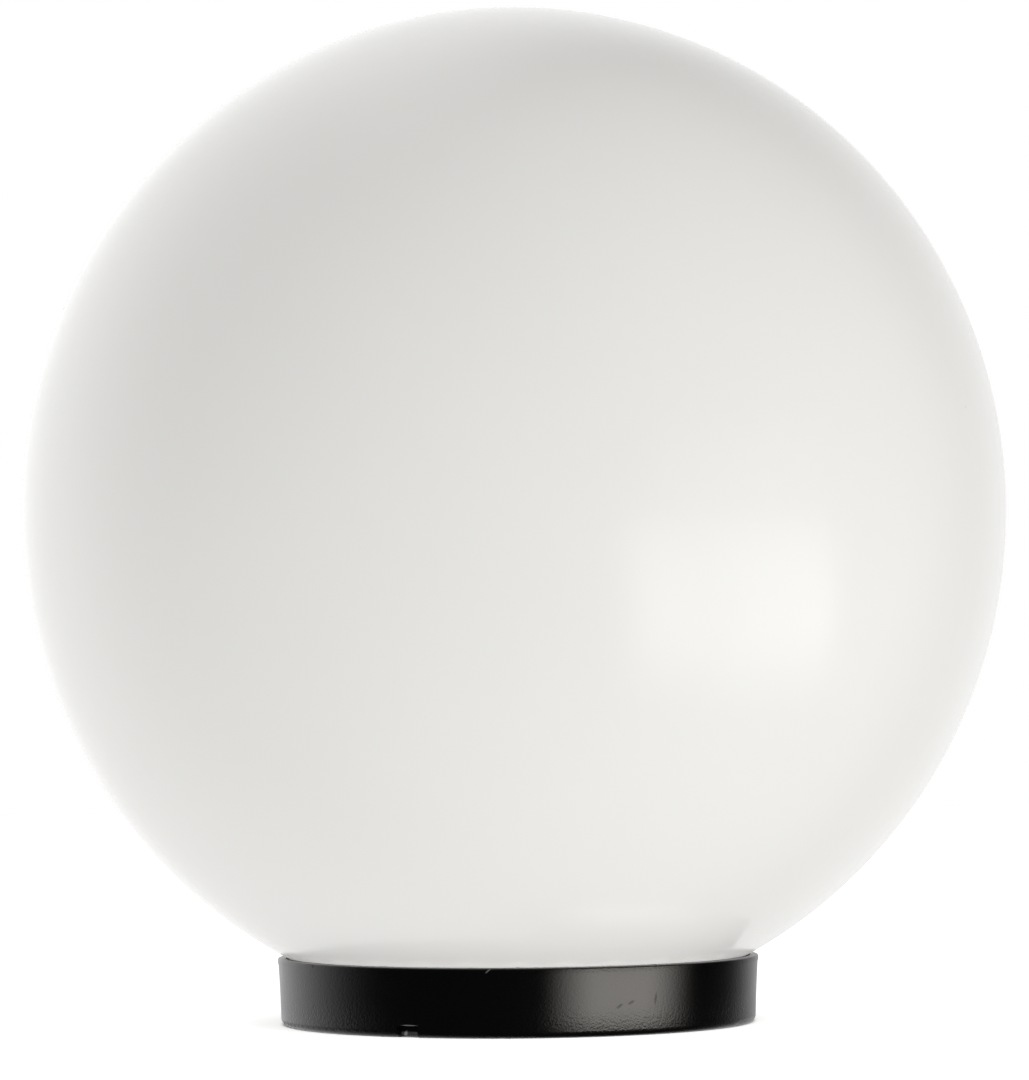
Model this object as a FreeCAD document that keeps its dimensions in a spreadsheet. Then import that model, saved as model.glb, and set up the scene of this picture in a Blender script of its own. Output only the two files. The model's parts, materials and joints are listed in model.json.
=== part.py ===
"""Garden globe light: an opal globe with a bayonet neck, held in a shallow black moulded base.

Units are millimetres. +Z is up, the origin is the centre of the base's underside, and the light
faces -Y. The lamp stands inside the globe on a steel bridge over the cable entry.
"""

import FreeCAD, Part

import math
import os
import re

import Sketcher

Vector = FreeCAD.Vector

# Driving sizes, each set by itself. Angles are in degrees, counted anticlockwise from +X.
SIZES = {
    # The blown opal globe, a little taller than wide, and its cylindrical neck
    "globe_radius": 125.0,
    "globe_stretch": 3.0,
    "globe_wall": 2.8,
    "neck_radius": 52.0,
    "neck_wall": 2.8,
    "neck_gap": 0.4,
    # The bayonet: lugs on the neck, and the flange in the base that they turn under
    "lug_count": 3,
    "lug_angle": 24.0,
    "lug_projection": 3.2,
    "lug_thickness": 2.7,
    "lug_setback": 0.3,
    "bayonet_gap": 0.3,
    "flange_thickness": 2.0,
    "stop_angle": 3.0,
    "seal_gap": 0.4,
    # The moulded base housing round the neck. Its ribs and bosses bite into what carries them.
    "housing_height": 16.7,
    "rim_reach": 9.0,
    "rim_gap": 0.65,
    "rim_rounding": 0.4,
    "lip_height": 1.3,
    "lip_step": 0.15,
    "foot_inset": 0.8,
    "foot_rounding": 1.6,
    "flare_radius": 340.0,
    "skirt_wall": 2.0,
    "floor_thickness": 2.2,
    "rib_thickness": 1.6,
    "rib_count": 8,
    "hub_radius": 16.0,
    "bite": 0.2,
    "overrun": 1.0,
    # The lock tab, and the notch in the foot that a 5.5 mm screwdriver blade goes into
    "notch_width": 5.5,
    "notch_height": 2.8,
    "notch_gap": 0.35,
    "lock_angle": 243.6,
    "tab_gap": 0.35,
    "tab_travel": 2.3,
    "tab_length": 14.0,
    "tab_plate": 1.3,
    "tab_foot_gap": 0.4,
    "nose_length": 6.4,
    "nose_setback": 1.0,
    "nose_chamfer": 1.0,
    "blade_slot": 1.2,
    "strap_thickness": 0.8,
    "strap_width": 3.0,
    "strap_offset": 1.0,
    # The screw holes that fix the base to a wall box or a post top
    "fixing_count": 4,
    "fixing_circle": 78.0,
    "fixing_hole_radius": 2.6,
    "fixing_boss_radius": 5.5,
    "fixing_boss_height": 1.2,
    # The cable entry and its rubber grommet
    "entry_radius": 9.0,
    "cable_radius": 4.0,
    "grommet_flange": 2.5,
    "grommet_lip": 1.8,
    "grommet_bevel": 0.6,
    "snout_height": 2.4,
    "snout_wall": 1.3,
    # The steel bridge that carries the lampholder
    "bracket_thickness": 1.2,
    "bracket_width": 22.0,
    "bracket_span": 66.0,
    "bracket_foot": 11.0,
    "bracket_top": 24.0,
    "bracket_bend": 1.0,
    "bracket_slope": 4.0,
    "bracket_boss_radius": 5.0,
    "bracket_boss_height": 4.0,
    "bracket_opening": 6.0,
    # Screws. A sink clears the head in it, and a thread shows past what it goes through.
    "screw_radius": 1.45,
    "screw_head_radius": 2.9,
    "small_head_radius": 2.3,
    "screw_head": 1.9,
    "screw_length": 7.0,
    "screw_gap": 0.05,
    "sink_gap": 0.3,
    "thread_end": 2.0,
    # The lampholder
    "holder_radius": 20.0,
    "holder_mouth_radius": 22.0,
    "holder_shoulder": 18.0,
    "holder_height": 44.0,
    "well_floor": 16.0,
    "shell_radius": 13.45,
    "shell_wall": 0.5,
    "shell_gap": 0.15,
    "shell_lift": 1.5,
    "shell_height": 23.0,
    "shell_eye_radius": 10.0,
    "holder_screw_spacing": 20.0,
    "mouth_rounding": 1.5,
    "pocket_offset": 8.5,
    "pocket_width": 7.0,
    "pocket_depth": 7.5,
    "pocket_floor": 5.0,
    "pocket_height": 8.0,
    "contact_thickness": 0.5,
    "contact_width": 5.0,
    "contact_rise": 2.4,
    "contact_setback": 2.0,
    "contact_screw_offset": 3.2,
    "contact_screw_length": 3.5,
    # The bulb
    "bulb_height": 108.0,
    "bulb_radius": 30.0,
    "bulb_neck_radius": 24.0,
    "bulb_wall": 1.4,
    "bulb_waist": 58.0,
    "bulb_collar": 25.4,
    "collar_step": 0.4,
    "collar_height": 3.0,
    "bulb_flare": 60.0,
    "cap_radius": 13.05,
    "cap_wall": 0.3,
    "cap_foot": 5.6,
    "insulator_radius": 11.0,
    "insulator_rim": 1.0,
    "insulator_land": 0.6,
    "tip_radius": 4.4,
    "tip_height": 1.4,
    "tip_edge": 0.4,
    "tip_gap": 0.3,
    "board_thickness": 1.6,
    "board_gap": 0.3,
    "chip_count": 8,
    "chip_circle": 32.0,
    "chip_side": 3.5,
    "chip_height": 0.8,
    # The terminal block, the cord clamp and the leads
    "block_setback": 18.2,
    "block_length": 17.0,
    "block_pitch": 9.0,
    "block_height": 13.0,
    "block_groove": 1.4,
    "block_groove_depth": 6.0,
    "block_seat": 2.0,
    "insert_radius": 2.5,
    "insert_bore": 1.6,
    "insert_height": 5.0,
    "insert_setback": 1.5,
    "terminal_screw_radius": 1.4,
    "terminal_screw_spacing": 7.6,
    "terminal_screw_depth": 1.0,
    "terminal_well_gap": 0.5,
    "clamp_distance": 15.0,
    "clamp_spacing": 22.0,
    "clamp_width": 7.0,
    "clamp_thickness": 3.0,
    "clamp_hollow": 1.0,
    "clamp_boss_radius": 3.6,
    "clamp_boss_height": 6.0,
    "lead_radius": 1.15,
    "lead_gap": 0.2,
    "lead_grip": 3.0,
    "tag_thickness": 0.8,
    "tag_radius": 3.6,
    "tag_barrel_radius": 1.9,
    "tag_barrel_length": 6.0,
    "tag_offset": 7.2,
}

# Sizes that follow from the driving ones: what fits in, seats on or lines up with something else
FITS = {
    "globe_half_height": "globe_radius + globe_stretch",
    "rim_radius": "neck_radius + rim_reach",
    "foot_radius": "rim_radius - foot_inset",
    "rim_inner_radius": "rim_radius - skirt_wall",
    "well_radius": "foot_radius - skirt_wall",
    "floor_top": "notch_height + floor_thickness",
    "neck_foot": "floor_top + neck_gap",
    "lug_foot": "neck_foot + lug_setback",
    "lug_top": "lug_foot + lug_thickness",
    "lug_radius": "neck_radius + lug_projection",
    "flange_foot": "lug_top + bayonet_gap",
    "flange_top": "flange_foot + flange_thickness",
    "flange_radius": "neck_radius + bayonet_gap",
    "slot_radius": "lug_radius + bayonet_gap",
    "gap_angle": "asin(bayonet_gap / neck_radius) / 1 deg",
    "tab_width": "notch_width - 2 * notch_gap",
    "twist_angle": "lug_angle + 2 * asin((tab_width / 2 + bayonet_gap) / neck_radius) / 1 deg",
    "entry_angle": "lock_angle + twist_angle / 2",
    "globe_centre": "housing_height + globe_half_height"
    " * sqrt(1 - pow((rim_inner_radius - rim_gap) / globe_radius; 2))",
    "neck_bore": "neck_radius - neck_wall",
    "seal_bore": "neck_radius + seal_gap",
    "seal_radius": "well_radius - seal_gap",
    "seal_inner_top": "globe_centre - seal_gap"
    " - globe_half_height * sqrt(1 - pow(seal_bore / globe_radius; 2))",
    "seal_outer_top": "globe_centre - seal_gap"
    " - globe_half_height * sqrt(1 - pow(seal_radius / globe_radius; 2))",
    "tooth_inner": "lug_radius + bayonet_gap",
    "tooth_outer": "well_radius - tab_gap",
    "tooth_top": "flange_foot - 2 * bayonet_gap",
    "nose_tip": "foot_radius - nose_setback",
    "tab_tail": "nose_tip - tab_length",
    "tab_top": "notch_height - tab_gap",
    "channel_end": "tab_tail - tab_travel - tab_gap",
    "tooth_slot_end": "tooth_inner - tab_travel - tab_gap",
    "rib_height": "notch_height + floor_thickness / 2",
    "stop_foot": "floor_top - floor_thickness / 2",
    "fixing_radius": "fixing_circle / 2",
    "fixing_boss_top": "floor_top + fixing_boss_height",
    "bracket_seat": "floor_top + bracket_boss_height",
    "bracket_leg": "bracket_span / 2 - bracket_foot / 2",
    "foot_screw_seat": "bracket_seat + bracket_thickness",
    "holder_seat": "bracket_top + bracket_thickness",
    "sink_floor": "well_floor - screw_head - sink_gap",
    "contact_seat": "pocket_floor + contact_thickness",
    "contact_screw_y": "pocket_depth + contact_screw_offset",
    "block_offset": "neck_bore - block_setback",
    "block_foot": "floor_top + block_seat",
    "block_width": "3 * block_pitch",
    "block_end": "block_offset + block_length / 2",
    "block_sink": "block_height - block_groove_depth",
    "insert_centre": "block_foot + insert_height",
    "clamp_offset": "block_offset - clamp_distance",
    "clamp_seat": "floor_top + clamp_boss_height",
    "clamp_arc": "(pow(cable_radius; 2) + pow(clamp_hollow; 2)) / (2 * clamp_hollow)",
    "bulb_seat": "holder_seat + well_floor + contact_rise + tip_gap",
    "holder_bore": "shell_radius + shell_wall + shell_gap",
    "board_seat": "bulb_waist - board_thickness",
    "dome_foot": "bulb_height - bulb_waist - bulb_radius",
    "dome_step": "bulb_radius - bulb_neck_radius",
    "dome_flank": "(pow(dome_foot; 2) + pow(dome_step; 2)) / (2 * dome_step)",
    "earth_x": "bracket_span / 2",
    "tag_end": "tag_offset + tag_radius + tag_barrel_length",
    "screw_bore": "screw_radius + screw_gap",
}

# The terminal block's poles from -X to +X: live, neutral and earth
POLES = ["-block_pitch", "0", "block_pitch"]

# The leads' routes, chosen by hand. Each point lies this far behind the terminal block and this
# far above its pole, and this share of the way across from the pole to the lampholder's screw.
HOLDER_ROUTE = [(3.0, 0.0, 0.0), (6.5, 7.0, 0.1), (2.0, 16.0, 0.45)]
HOLDER_RUN = 17.0

# The earth lead's points lie this far right of its pole, behind the block and above the pole.
EARTH_ROUTE = [(0.0, 3.0, 0.0), (6.5, 5.0, 2.0), (17.0, -2.5, 3.0)]
EARTH_RUN = 10.0

doc = FreeCAD.newDocument("garden_globe_light")
sheets = {
    "Sizes": doc.addObject("Spreadsheet::Sheet", "Sizes"),
    "Fits": doc.addObject("Spreadsheet::Sheet", "Fits"),
}
sheet_of = {name: "Sizes" for name in SIZES}
sheet_of.update({name: "Fits" for name in FITS})


def bound(formula):
    """A formula with each size's name led by the name of the sheet that holds it."""

    def with_sheet(match):
        name = match.group()
        return sheet_of[name] + "." + name if name in sheet_of else name

    return re.sub(r"[a-z]\w+", with_sheet, formula)


def number(formula):
    """The value that a formula has now."""
    found = sheets["Sizes"].evalExpression(bound(formula))
    return float(getattr(found, "Value", found))


def fill_sheets():
    """Writes the driving sizes as plain numbers, and what follows from them as formulas."""
    for row, (name, size) in enumerate(SIZES.items(), 1):
        sheets["Sizes"].set("A%d" % row, name)
        sheets["Sizes"].set("B%d" % row, str(size))
        sheets["Sizes"].setAlias("B%d" % row, name)
    doc.recompute()
    for row, (name, formula) in enumerate(FITS.items(), 1):
        sheets["Fits"].set("A%d" % row, name)
        sheets["Fits"].set("B%d" % row, "=" + bound(formula))
        sheets["Fits"].setAlias("B%d" % row, name)
        doc.recompute()


def new_body(label, x="0", y="0", z="0", turn="0"):
    """An empty body whose own origin stands at x, y, z, turned about the upright axis."""
    body = doc.addObject("PartDesign::Body", label)
    body.Label = label
    body.AllowCompound = True
    body.Placement = FreeCAD.Placement(Vector(), FreeCAD.Rotation(Vector(0, 0, 1), 0))
    for path, formula in (("Base.x", x), ("Base.y", y), ("Base.z", z), ("Rotation.Angle", turn)):
        if formula != "0":
            body.setExpression("Placement." + path, bound(formula))
    return body


def origin_of(body, role):
    """The body's own base plane or axis of that role."""
    return next(item for item in body.Origin.OriginFeatures if item.Role == role)


def new_sketch(body, name, role, x="0", y="0", z="0", turn="0"):
    """A sketch on one of the body's own planes, moved in that plane's axes and turned about its normal."""
    sketch = body.newObject("Sketcher::SketchObject", name)
    sketch.AttachmentSupport = [(origin_of(body, role), "")]
    sketch.MapMode = "FlatFace"
    sketch.AttachmentOffset = FreeCAD.Placement(Vector(), FreeCAD.Rotation(Vector(0, 0, 1), 0))
    for path, formula in (("Base.x", x), ("Base.y", y), ("Base.z", z), ("Rotation.Angle", turn)):
        if formula != "0":
            sketch.setExpression("AttachmentOffset." + path, bound(formula))
    return sketch


def measure(sketch, kind, formula, *where):
    """Adds a dimension to a sketch and ties it to a formula."""
    value = number(formula)
    if kind == "Angle":
        value = math.radians(value)
    index = sketch.addConstraint(Sketcher.Constraint(kind, *where, value))
    tied = "(%s) * 1 deg" % bound(formula) if kind == "Angle" else bound(formula)
    sketch.setExpression("Constraints[%d]" % index, tied)


def hold(sketch, piece, end, x=None, y=None):
    """Holds one end of a sketch line at x and y from the sketch's origin."""
    for kind, axis, formula in (("DistanceX", -2, x), ("DistanceY", -1, y)):
        if formula == "0":
            sketch.addConstraint(Sketcher.Constraint("PointOnObject", piece, end, axis))
        elif formula is not None:
            measure(sketch, kind, formula, -1, 1, piece, end)


def arc_between(start, end, radius):
    """The short arc of that radius from start to end, hollow side to the left of the way there."""
    chord = end - start
    half = chord.Length / 2
    left = Vector(-chord.y, chord.x, 0).normalize()
    centre = start + chord * 0.5 + left * math.sqrt(radius * radius - half * half)
    first = math.atan2(start.y - centre.y, start.x - centre.x)
    last = math.atan2(end.y - centre.y, end.x - centre.x)
    return Part.ArcOfCircle(Part.Circle(centre, Vector(0, 0, 1), radius), first, last)


def outline(sketch, corners):
    """A closed outline, anticlockwise. A corner is (x, y), or (x, y, bulge, radius) where an arc
    leads on from it, with a bulge of "round" for one that swells out and "hollow" for one that
    draws in."""
    points = [Vector(number(corner[0]), number(corner[1]), 0) for corner in corners]
    pieces = []
    for index, corner in enumerate(corners):
        start, end = points[index], points[(index + 1) % len(points)]
        ends = (1, 2)
        if len(corner) == 2:
            shape = Part.LineSegment(start, end)
        elif corner[2] == "round":
            shape = arc_between(start, end, number(corner[3]))
        else:
            shape = arc_between(end, start, number(corner[3]))
            ends = (2, 1)
        pieces.append((sketch.addGeometry(shape, False), *ends))
        if len(corner) > 2:
            measure(sketch, "Radius", corner[3], pieces[-1][0])
    for index, (piece, first, last) in enumerate(pieces):
        following, its_first, _ = pieces[(index + 1) % len(pieces)]
        sketch.addConstraint(Sketcher.Constraint("Coincident", piece, last, following, its_first))
        hold(sketch, piece, first, corners[index][0], corners[index][1])
    return sketch


def rectangle(sketch, x0, x1, y0, y1):
    """An upright rectangle between two x and two y."""
    return outline(sketch, [(x0, y0), (x1, y0), (x1, y1), (x0, y1)])


def circle(sketch, radius, x="0", y="0"):
    """A circle about x, y."""
    middle = Vector(number(x), number(y), 0)
    piece = sketch.addGeometry(Part.Circle(middle, Vector(0, 0, 1), number(radius)), False)
    measure(sketch, "Radius", radius, piece)
    hold(sketch, piece, 3, x, y)
    return sketch


def sector(sketch, inner, outer, half_angle):
    """A piece of a ring about the sketch's origin, as wide either side of its own x axis."""
    low, high = number(inner), number(outer)
    half = math.radians(number(half_angle))
    upright = Vector(0, 0, 1)

    def at(radius, angle):
        return Vector(radius * math.cos(angle), radius * math.sin(angle), 0)

    far = sketch.addGeometry(Part.ArcOfCircle(Part.Circle(Vector(), upright, high), -half, half), False)
    near = sketch.addGeometry(Part.ArcOfCircle(Part.Circle(Vector(), upright, low), -half, half), False)
    left = sketch.addGeometry(Part.LineSegment(at(low, half), at(high, half)), False)
    right = sketch.addGeometry(Part.LineSegment(at(low, -half), at(high, -half)), False)
    for piece, end, other, other_end in (
        (left, 1, near, 2),
        (left, 2, far, 2),
        (right, 1, near, 1),
        (right, 2, far, 1),
    ):
        sketch.addConstraint(Sketcher.Constraint("Coincident", piece, end, other, other_end))
    for arc, radius in ((far, outer), (near, inner)):
        sketch.addConstraint(Sketcher.Constraint("Coincident", arc, 3, -1, 1))
        measure(sketch, "Radius", radius, arc)
    for line, formula in ((left, half_angle), (right, "-(%s)" % half_angle)):
        sketch.addConstraint(Sketcher.Constraint("PointOnObject", -1, 1, line))
        measure(sketch, "Angle", formula, line)
    return sketch


def new_feature(body, kind, name):
    """A feature that leaves its faces as cut. The last one of a body may merge them."""
    feature = body.newObject("PartDesign::" + kind, name)
    feature.Refine = False
    return feature


def revolve(body, sketch, name):
    """A full turn of a sketch about its own upright axis."""
    feature = new_feature(body, "Revolution", name)
    feature.Profile = sketch
    feature.ReferenceAxis = (sketch, ["V_Axis"])
    feature.Angle = 360
    return feature


def pad(body, sketch, name, length, both_ways=False):
    """Material from a sketch, along its normal or equally both ways."""
    feature = new_feature(body, "Pad", name)
    feature.Profile = sketch
    feature.setExpression("Length", bound(length))
    feature.Midplane = both_ways
    return feature


def pocket(body, sketch, name, length, both_ways=False, upward=True):
    """A cut from a sketch: upward along its normal, downward, or equally both ways."""
    feature = new_feature(body, "Pocket", name)
    feature.Profile = sketch
    feature.setExpression("Length", bound(length))
    feature.Midplane = both_ways
    feature.Reversed = upward and not both_ways
    return feature


def around(body, name, features, count):
    """The features repeated round the body's upright axis."""
    pattern = new_feature(body, "PolarPattern", name)
    pattern.Originals = features
    pattern.Axis = (origin_of(body, "Z_Axis"), [""])
    pattern.Angle = 360
    pattern.setExpression("Occurrences", bound(count))
    body.Tip = pattern
    return pattern


def edges_at(feature, radius, height):
    """The round edges of a feature about the upright axis, at a radius and a height."""
    found = []
    for index, edge in enumerate(feature.Shape.Edges, 1):
        box = edge.BoundBox
        level = abs(box.ZMin - height) < 1e-4 and abs(box.ZMax - height) < 1e-4
        if level and hasattr(edge.Curve, "Radius") and abs(edge.Curve.Radius - radius) < 1e-4:
            found.append("Edge%d" % index)
    return found


def straight_edges(feature, length, direction):
    """The straight edges of a feature that have this length along this axis."""
    found = []
    for index, edge in enumerate(feature.Shape.Edges, 1):
        if edge.Curve.TypeId != "Part::GeomLine" or abs(edge.Length - length) > 1e-4:
            continue
        way = edge.Vertexes[1].Point - edge.Vertexes[0].Point
        if way.cross(direction).Length < 1e-4:
            found.append("Edge%d" % index)
    return found


def round_off(body, base, name, edges, radius):
    """A rounding on the named edges of a feature."""
    feature = new_feature(body, "Fillet", name)
    feature.Base = (base, edges)
    feature.setExpression("Radius", bound(radius))
    return feature


def screws(label, seats, shank, head_radius="screw_head_radius"):
    """Pan-head screws as one node. A seat is the x, y and z under its head."""
    body = new_body(label)
    for index, (x, y, z) in enumerate(seats, 1):
        sketch = new_sketch(body, "half%d" % index, "XZ_Plane", x, z, "-(%s)" % y)
        outline(
            sketch,
            [
                ("0", "-(%s)" % shank),
                ("0.6 * screw_radius", "-(%s)" % shank),
                ("screw_radius", "screw_radius - (%s)" % shank),
                ("screw_radius", "0"),
                (head_radius, "0"),
                (head_radius, "0.4 * screw_head", "round", "0.8 * screw_head"),
                (head_radius + " - 0.6 * screw_head", "screw_head"),
                ("0", "screw_head"),
            ],
        )
        revolve(body, sketch, "screw%d" % index)
    return body


def both_sides(x, *rest):
    """The same place at x and at -x."""
    return [(x, *rest), ("-(%s)" % x, *rest)]


def terminal_screw_places():
    """The two screws of each pole of the terminal block."""
    reach = "terminal_screw_spacing / 2"
    return [(x, y) for x in POLES for y in (reach, "-" + reach)]


def make_globe():
    """The opal globe: a blown shell, open at its cylindrical neck."""
    body = new_body("globe")
    sketch = new_sketch(body, "half_section", "XZ_Plane")
    middle = Vector(0, number("globe_centre"), 0)

    def shell(wide, tall, foot_radius):
        """The ellipse arc from the neck up to the pole, held by its centre, width and height."""
        a, b = number(wide), number(tall)
        ellipse = Part.Ellipse(middle + Vector(0, b, 0), middle - Vector(a, 0, 0), middle)
        foot = Vector(foot_radius, middle.y - b * math.sqrt(1 - (foot_radius / a) ** 2), 0)
        first = ellipse.parameter(foot)
        last = ellipse.parameter(middle + Vector(0, b, 0))
        if last < first:
            last += 2 * math.pi
        arc = sketch.addGeometry(Part.ArcOfEllipse(ellipse, first, last), False)
        sketch.exposeInternalGeometry(arc)
        hold(sketch, arc, 3, "0", "globe_centre")
        sketch.addConstraint(Sketcher.Constraint("Vertical", arc + 1))
        measure(sketch, "Distance", "2 * (%s)" % tall, arc + 1)
        measure(sketch, "Distance", "2 * (%s)" % wide, arc + 2)
        hold(sketch, arc, 2, "0")
        return arc, foot

    outer, outer_foot = shell("globe_radius", "globe_half_height", number("neck_radius"))
    inner, inner_foot = shell(
        "globe_radius - globe_wall", "globe_half_height - globe_wall", number("neck_bore")
    )
    foot = number("neck_foot")
    outer_end = Vector(outer_foot.x, foot, 0)
    inner_end = Vector(inner_foot.x, foot, 0)
    neck_outside = sketch.addGeometry(Part.LineSegment(outer_foot, outer_end), False)
    neck_end = sketch.addGeometry(Part.LineSegment(outer_end, inner_end), False)
    neck_inside = sketch.addGeometry(Part.LineSegment(inner_end, inner_foot), False)
    pole = sketch.addGeometry(
        Part.LineSegment(
            middle + Vector(0, number("globe_half_height - globe_wall"), 0),
            middle + Vector(0, number("globe_half_height"), 0),
        ),
        False,
    )
    for piece, end, other, other_end in (
        (outer, 1, neck_outside, 1),
        (neck_outside, 2, neck_end, 1),
        (neck_end, 2, neck_inside, 1),
        (neck_inside, 2, inner, 1),
        (inner, 2, pole, 1),
        (pole, 2, outer, 2),
    ):
        sketch.addConstraint(Sketcher.Constraint("Coincident", piece, end, other, other_end))
    sketch.addConstraint(Sketcher.Constraint("Vertical", neck_outside))
    sketch.addConstraint(Sketcher.Constraint("Vertical", neck_inside))
    hold(sketch, neck_end, 1, "neck_radius", "neck_foot")
    hold(sketch, neck_end, 2, "neck_bore", "neck_foot")
    revolve(body, sketch, "shell")
    return body


def make_bayonet_lugs():
    """The lugs bonded round the foot of the globe's neck."""
    body = new_body("bayonet_lugs", z="lug_foot")
    plan = new_sketch(body, "plan", "XY_Plane", turn="entry_angle")
    sector(plan, "neck_radius", "lug_radius", "lug_angle / 2")
    lug = pad(body, plan, "lug", "lug_thickness")
    around(body, "ring", [lug], "lug_count")
    return body


def make_neck_seal():
    """The rubber ring on the flange, sloped to lie under the globe's shoulder."""
    body = new_body("neck_seal")
    sketch = outline(
        new_sketch(body, "section", "XZ_Plane"),
        [
            ("seal_bore", "flange_top"),
            ("seal_radius", "flange_top"),
            ("seal_radius", "seal_outer_top"),
            ("seal_bore", "seal_inner_top"),
        ],
    )
    revolve(body, sketch, "ring")
    return body


def make_base_housing():
    """The black moulding: flared skirt, raised floor, bayonet flange, bosses, and ribs underneath."""
    body = new_body("base_housing")
    section = outline(
        new_sketch(body, "section", "XZ_Plane"),
        [
            ("0", "notch_height"),
            ("well_radius", "notch_height"),
            ("well_radius", "0"),
            ("foot_radius - foot_rounding", "0", "round", "foot_rounding"),
            ("foot_radius", "foot_rounding", "hollow", "flare_radius"),
            ("rim_radius - lip_step", "housing_height - lip_height"),
            ("rim_radius", "housing_height - lip_height"),
            ("rim_radius", "housing_height"),
            ("rim_inner_radius", "housing_height"),
            ("well_radius", "flange_top"),
            ("flange_radius", "flange_top"),
            ("flange_radius", "flange_foot"),
            ("well_radius", "flange_foot"),
            ("well_radius", "floor_top"),
            ("0", "floor_top"),
        ],
    )
    cup = revolve(body, section, "cup")
    doc.recompute()
    rim = edges_at(cup, number("rim_radius"), number("housing_height"))
    round_off(body, cup, "rim_edge", rim, "rim_rounding")
    add_bayonet(body)
    add_ribs(body)
    add_bosses(body)
    add_fixings(body)
    add_lock_channel(body)
    return body


def add_bayonet(body):
    """The slots in the flange that the globe's lugs drop through, and the stops below it."""
    plan = new_sketch(body, "slot_plan", "XY_Plane", z="flange_foot - bayonet_gap", turn="entry_angle")
    sector(plan, "flange_radius - overrun", "slot_radius", "lug_angle / 2 + gap_angle")
    slot = pocket(body, plan, "entry_slot", "flange_thickness + 2 * bayonet_gap")
    around(body, "entry_slots", [slot], "lug_count")
    for name, turn in (
        ("entry_stop", "entry_angle + lug_angle / 2 + gap_angle + stop_angle / 2"),
        ("lock_stop", "entry_angle - twist_angle - lug_angle / 2 - gap_angle - stop_angle / 2"),
    ):
        plan = new_sketch(body, name + "_plan", "XY_Plane", z="stop_foot", turn=turn)
        sector(plan, "flange_radius + bayonet_gap", "well_radius + bite", "stop_angle / 2")
        stop = pad(body, plan, name, "flange_foot + bite - stop_foot")
        around(body, name + "s", [stop], "lug_count")


def add_ribs(body):
    """The ribs under the floor, from a round hub out to the skirt."""
    plan = new_sketch(body, "rib_plan", "XY_Plane")
    rectangle(
        plan,
        "hub_radius - rib_thickness / 2",
        "well_radius + bite",
        "-rib_thickness / 2",
        "rib_thickness / 2",
    )
    rib = pad(body, plan, "rib", "rib_height")
    around(body, "ribs", [rib], "rib_count")
    hub = new_sketch(body, "hub_plan", "XY_Plane")
    circle(hub, "hub_radius")
    circle(hub, "hub_radius - rib_thickness")
    pad(body, hub, "hub", "rib_height")


def add_bosses(body):
    """The bosses for the bracket and the cord clamp, and the raised seat of the terminal block."""
    for name, radius, top, places in (
        ("bracket_boss", "bracket_boss_radius", "bracket_seat", both_sides("bracket_span / 2", "0")),
        ("clamp_boss", "clamp_boss_radius", "clamp_seat", both_sides("clamp_spacing / 2", "clamp_offset")),
    ):
        plan = new_sketch(body, name + "_plan", "XY_Plane", z="notch_height")
        bore = new_sketch(body, name + "_bore_plan", "XY_Plane", z=top)
        for x, y in places:
            circle(plan, radius, x, y)
            circle(bore, "screw_bore", x, y)
        pad(body, plan, name, "%s - notch_height" % top)
        pocket(body, bore, name + "_bore", "screw_length", upward=False)
    seat = new_sketch(body, "block_seat_plan", "XY_Plane", z="notch_height")
    rectangle(
        seat, "-block_width / 2", "block_width / 2", "block_offset - block_length / 2", "block_end"
    )
    pad(body, seat, "block_seat", "block_foot - notch_height")
    bores = new_sketch(body, "block_bore_plan", "XY_Plane", z="block_foot")
    for x, y in both_sides("block_pitch / 2", "block_offset"):
        circle(bores, "screw_bore", x, y)
    pocket(body, bores, "block_bores", "block_foot - notch_height + overrun", upward=False)


def add_fixings(body):
    """The bossed holes that fix the base, and the cable entry in the middle."""
    boss_plan = new_sketch(body, "fixing_boss_plan", "XY_Plane", turn="180 / fixing_count")
    circle(boss_plan, "fixing_boss_radius", "fixing_radius")
    boss = pad(body, boss_plan, "fixing_boss", "fixing_boss_top")
    around(body, "fixing_bosses", [boss], "fixing_count")
    hole_plan = new_sketch(body, "fixing_hole_plan", "XY_Plane", turn="180 / fixing_count")
    circle(hole_plan, "fixing_hole_radius", "fixing_radius")
    hole = pocket(body, hole_plan, "fixing_hole", "fixing_boss_top + overrun")
    around(body, "fixing_holes", [hole], "fixing_count")
    entry = new_sketch(body, "entry_plan", "XY_Plane")
    circle(entry, "entry_radius")
    pocket(body, entry, "entry", "floor_top + overrun")


def add_lock_channel(body):
    """The lock tab's channel under the floor, with its guides and strap, and the notch in the foot."""
    half = "notch_width / 2"

    def plan(name):
        return new_sketch(body, name, "XY_Plane", turn="lock_angle")

    channel = rectangle(plan("channel_plan"), "channel_end", "well_radius", "-" + half, half)
    pocket(body, channel, "channel", "notch_height")
    guides = plan("guide_plan")
    for low, high in ((half, half + " + rib_thickness"), ("-%s - rib_thickness" % half, "-" + half)):
        rectangle(guides, "channel_end", "well_radius + bite", low, high)
    pad(body, guides, "guides", "rib_height")
    strap = rectangle(
        plan("strap_plan"),
        "tab_tail + strap_offset",
        "tab_tail + strap_offset + strap_width",
        "-%s - rib_thickness / 2" % half,
        half + " + rib_thickness / 2",
    )
    pad(body, strap, "strap", "strap_thickness")
    slot = rectangle(plan("tooth_slot_plan"), "tooth_slot_end", "well_radius", "-" + half, half)
    pocket(body, slot, "tooth_slot", "floor_top + overrun")
    notch = rectangle(
        plan("notch_plan"), "well_radius - overrun", "foot_radius + overrun", "-" + half, half
    )
    pocket(body, notch, "notch", "notch_height").Refine = True


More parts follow.
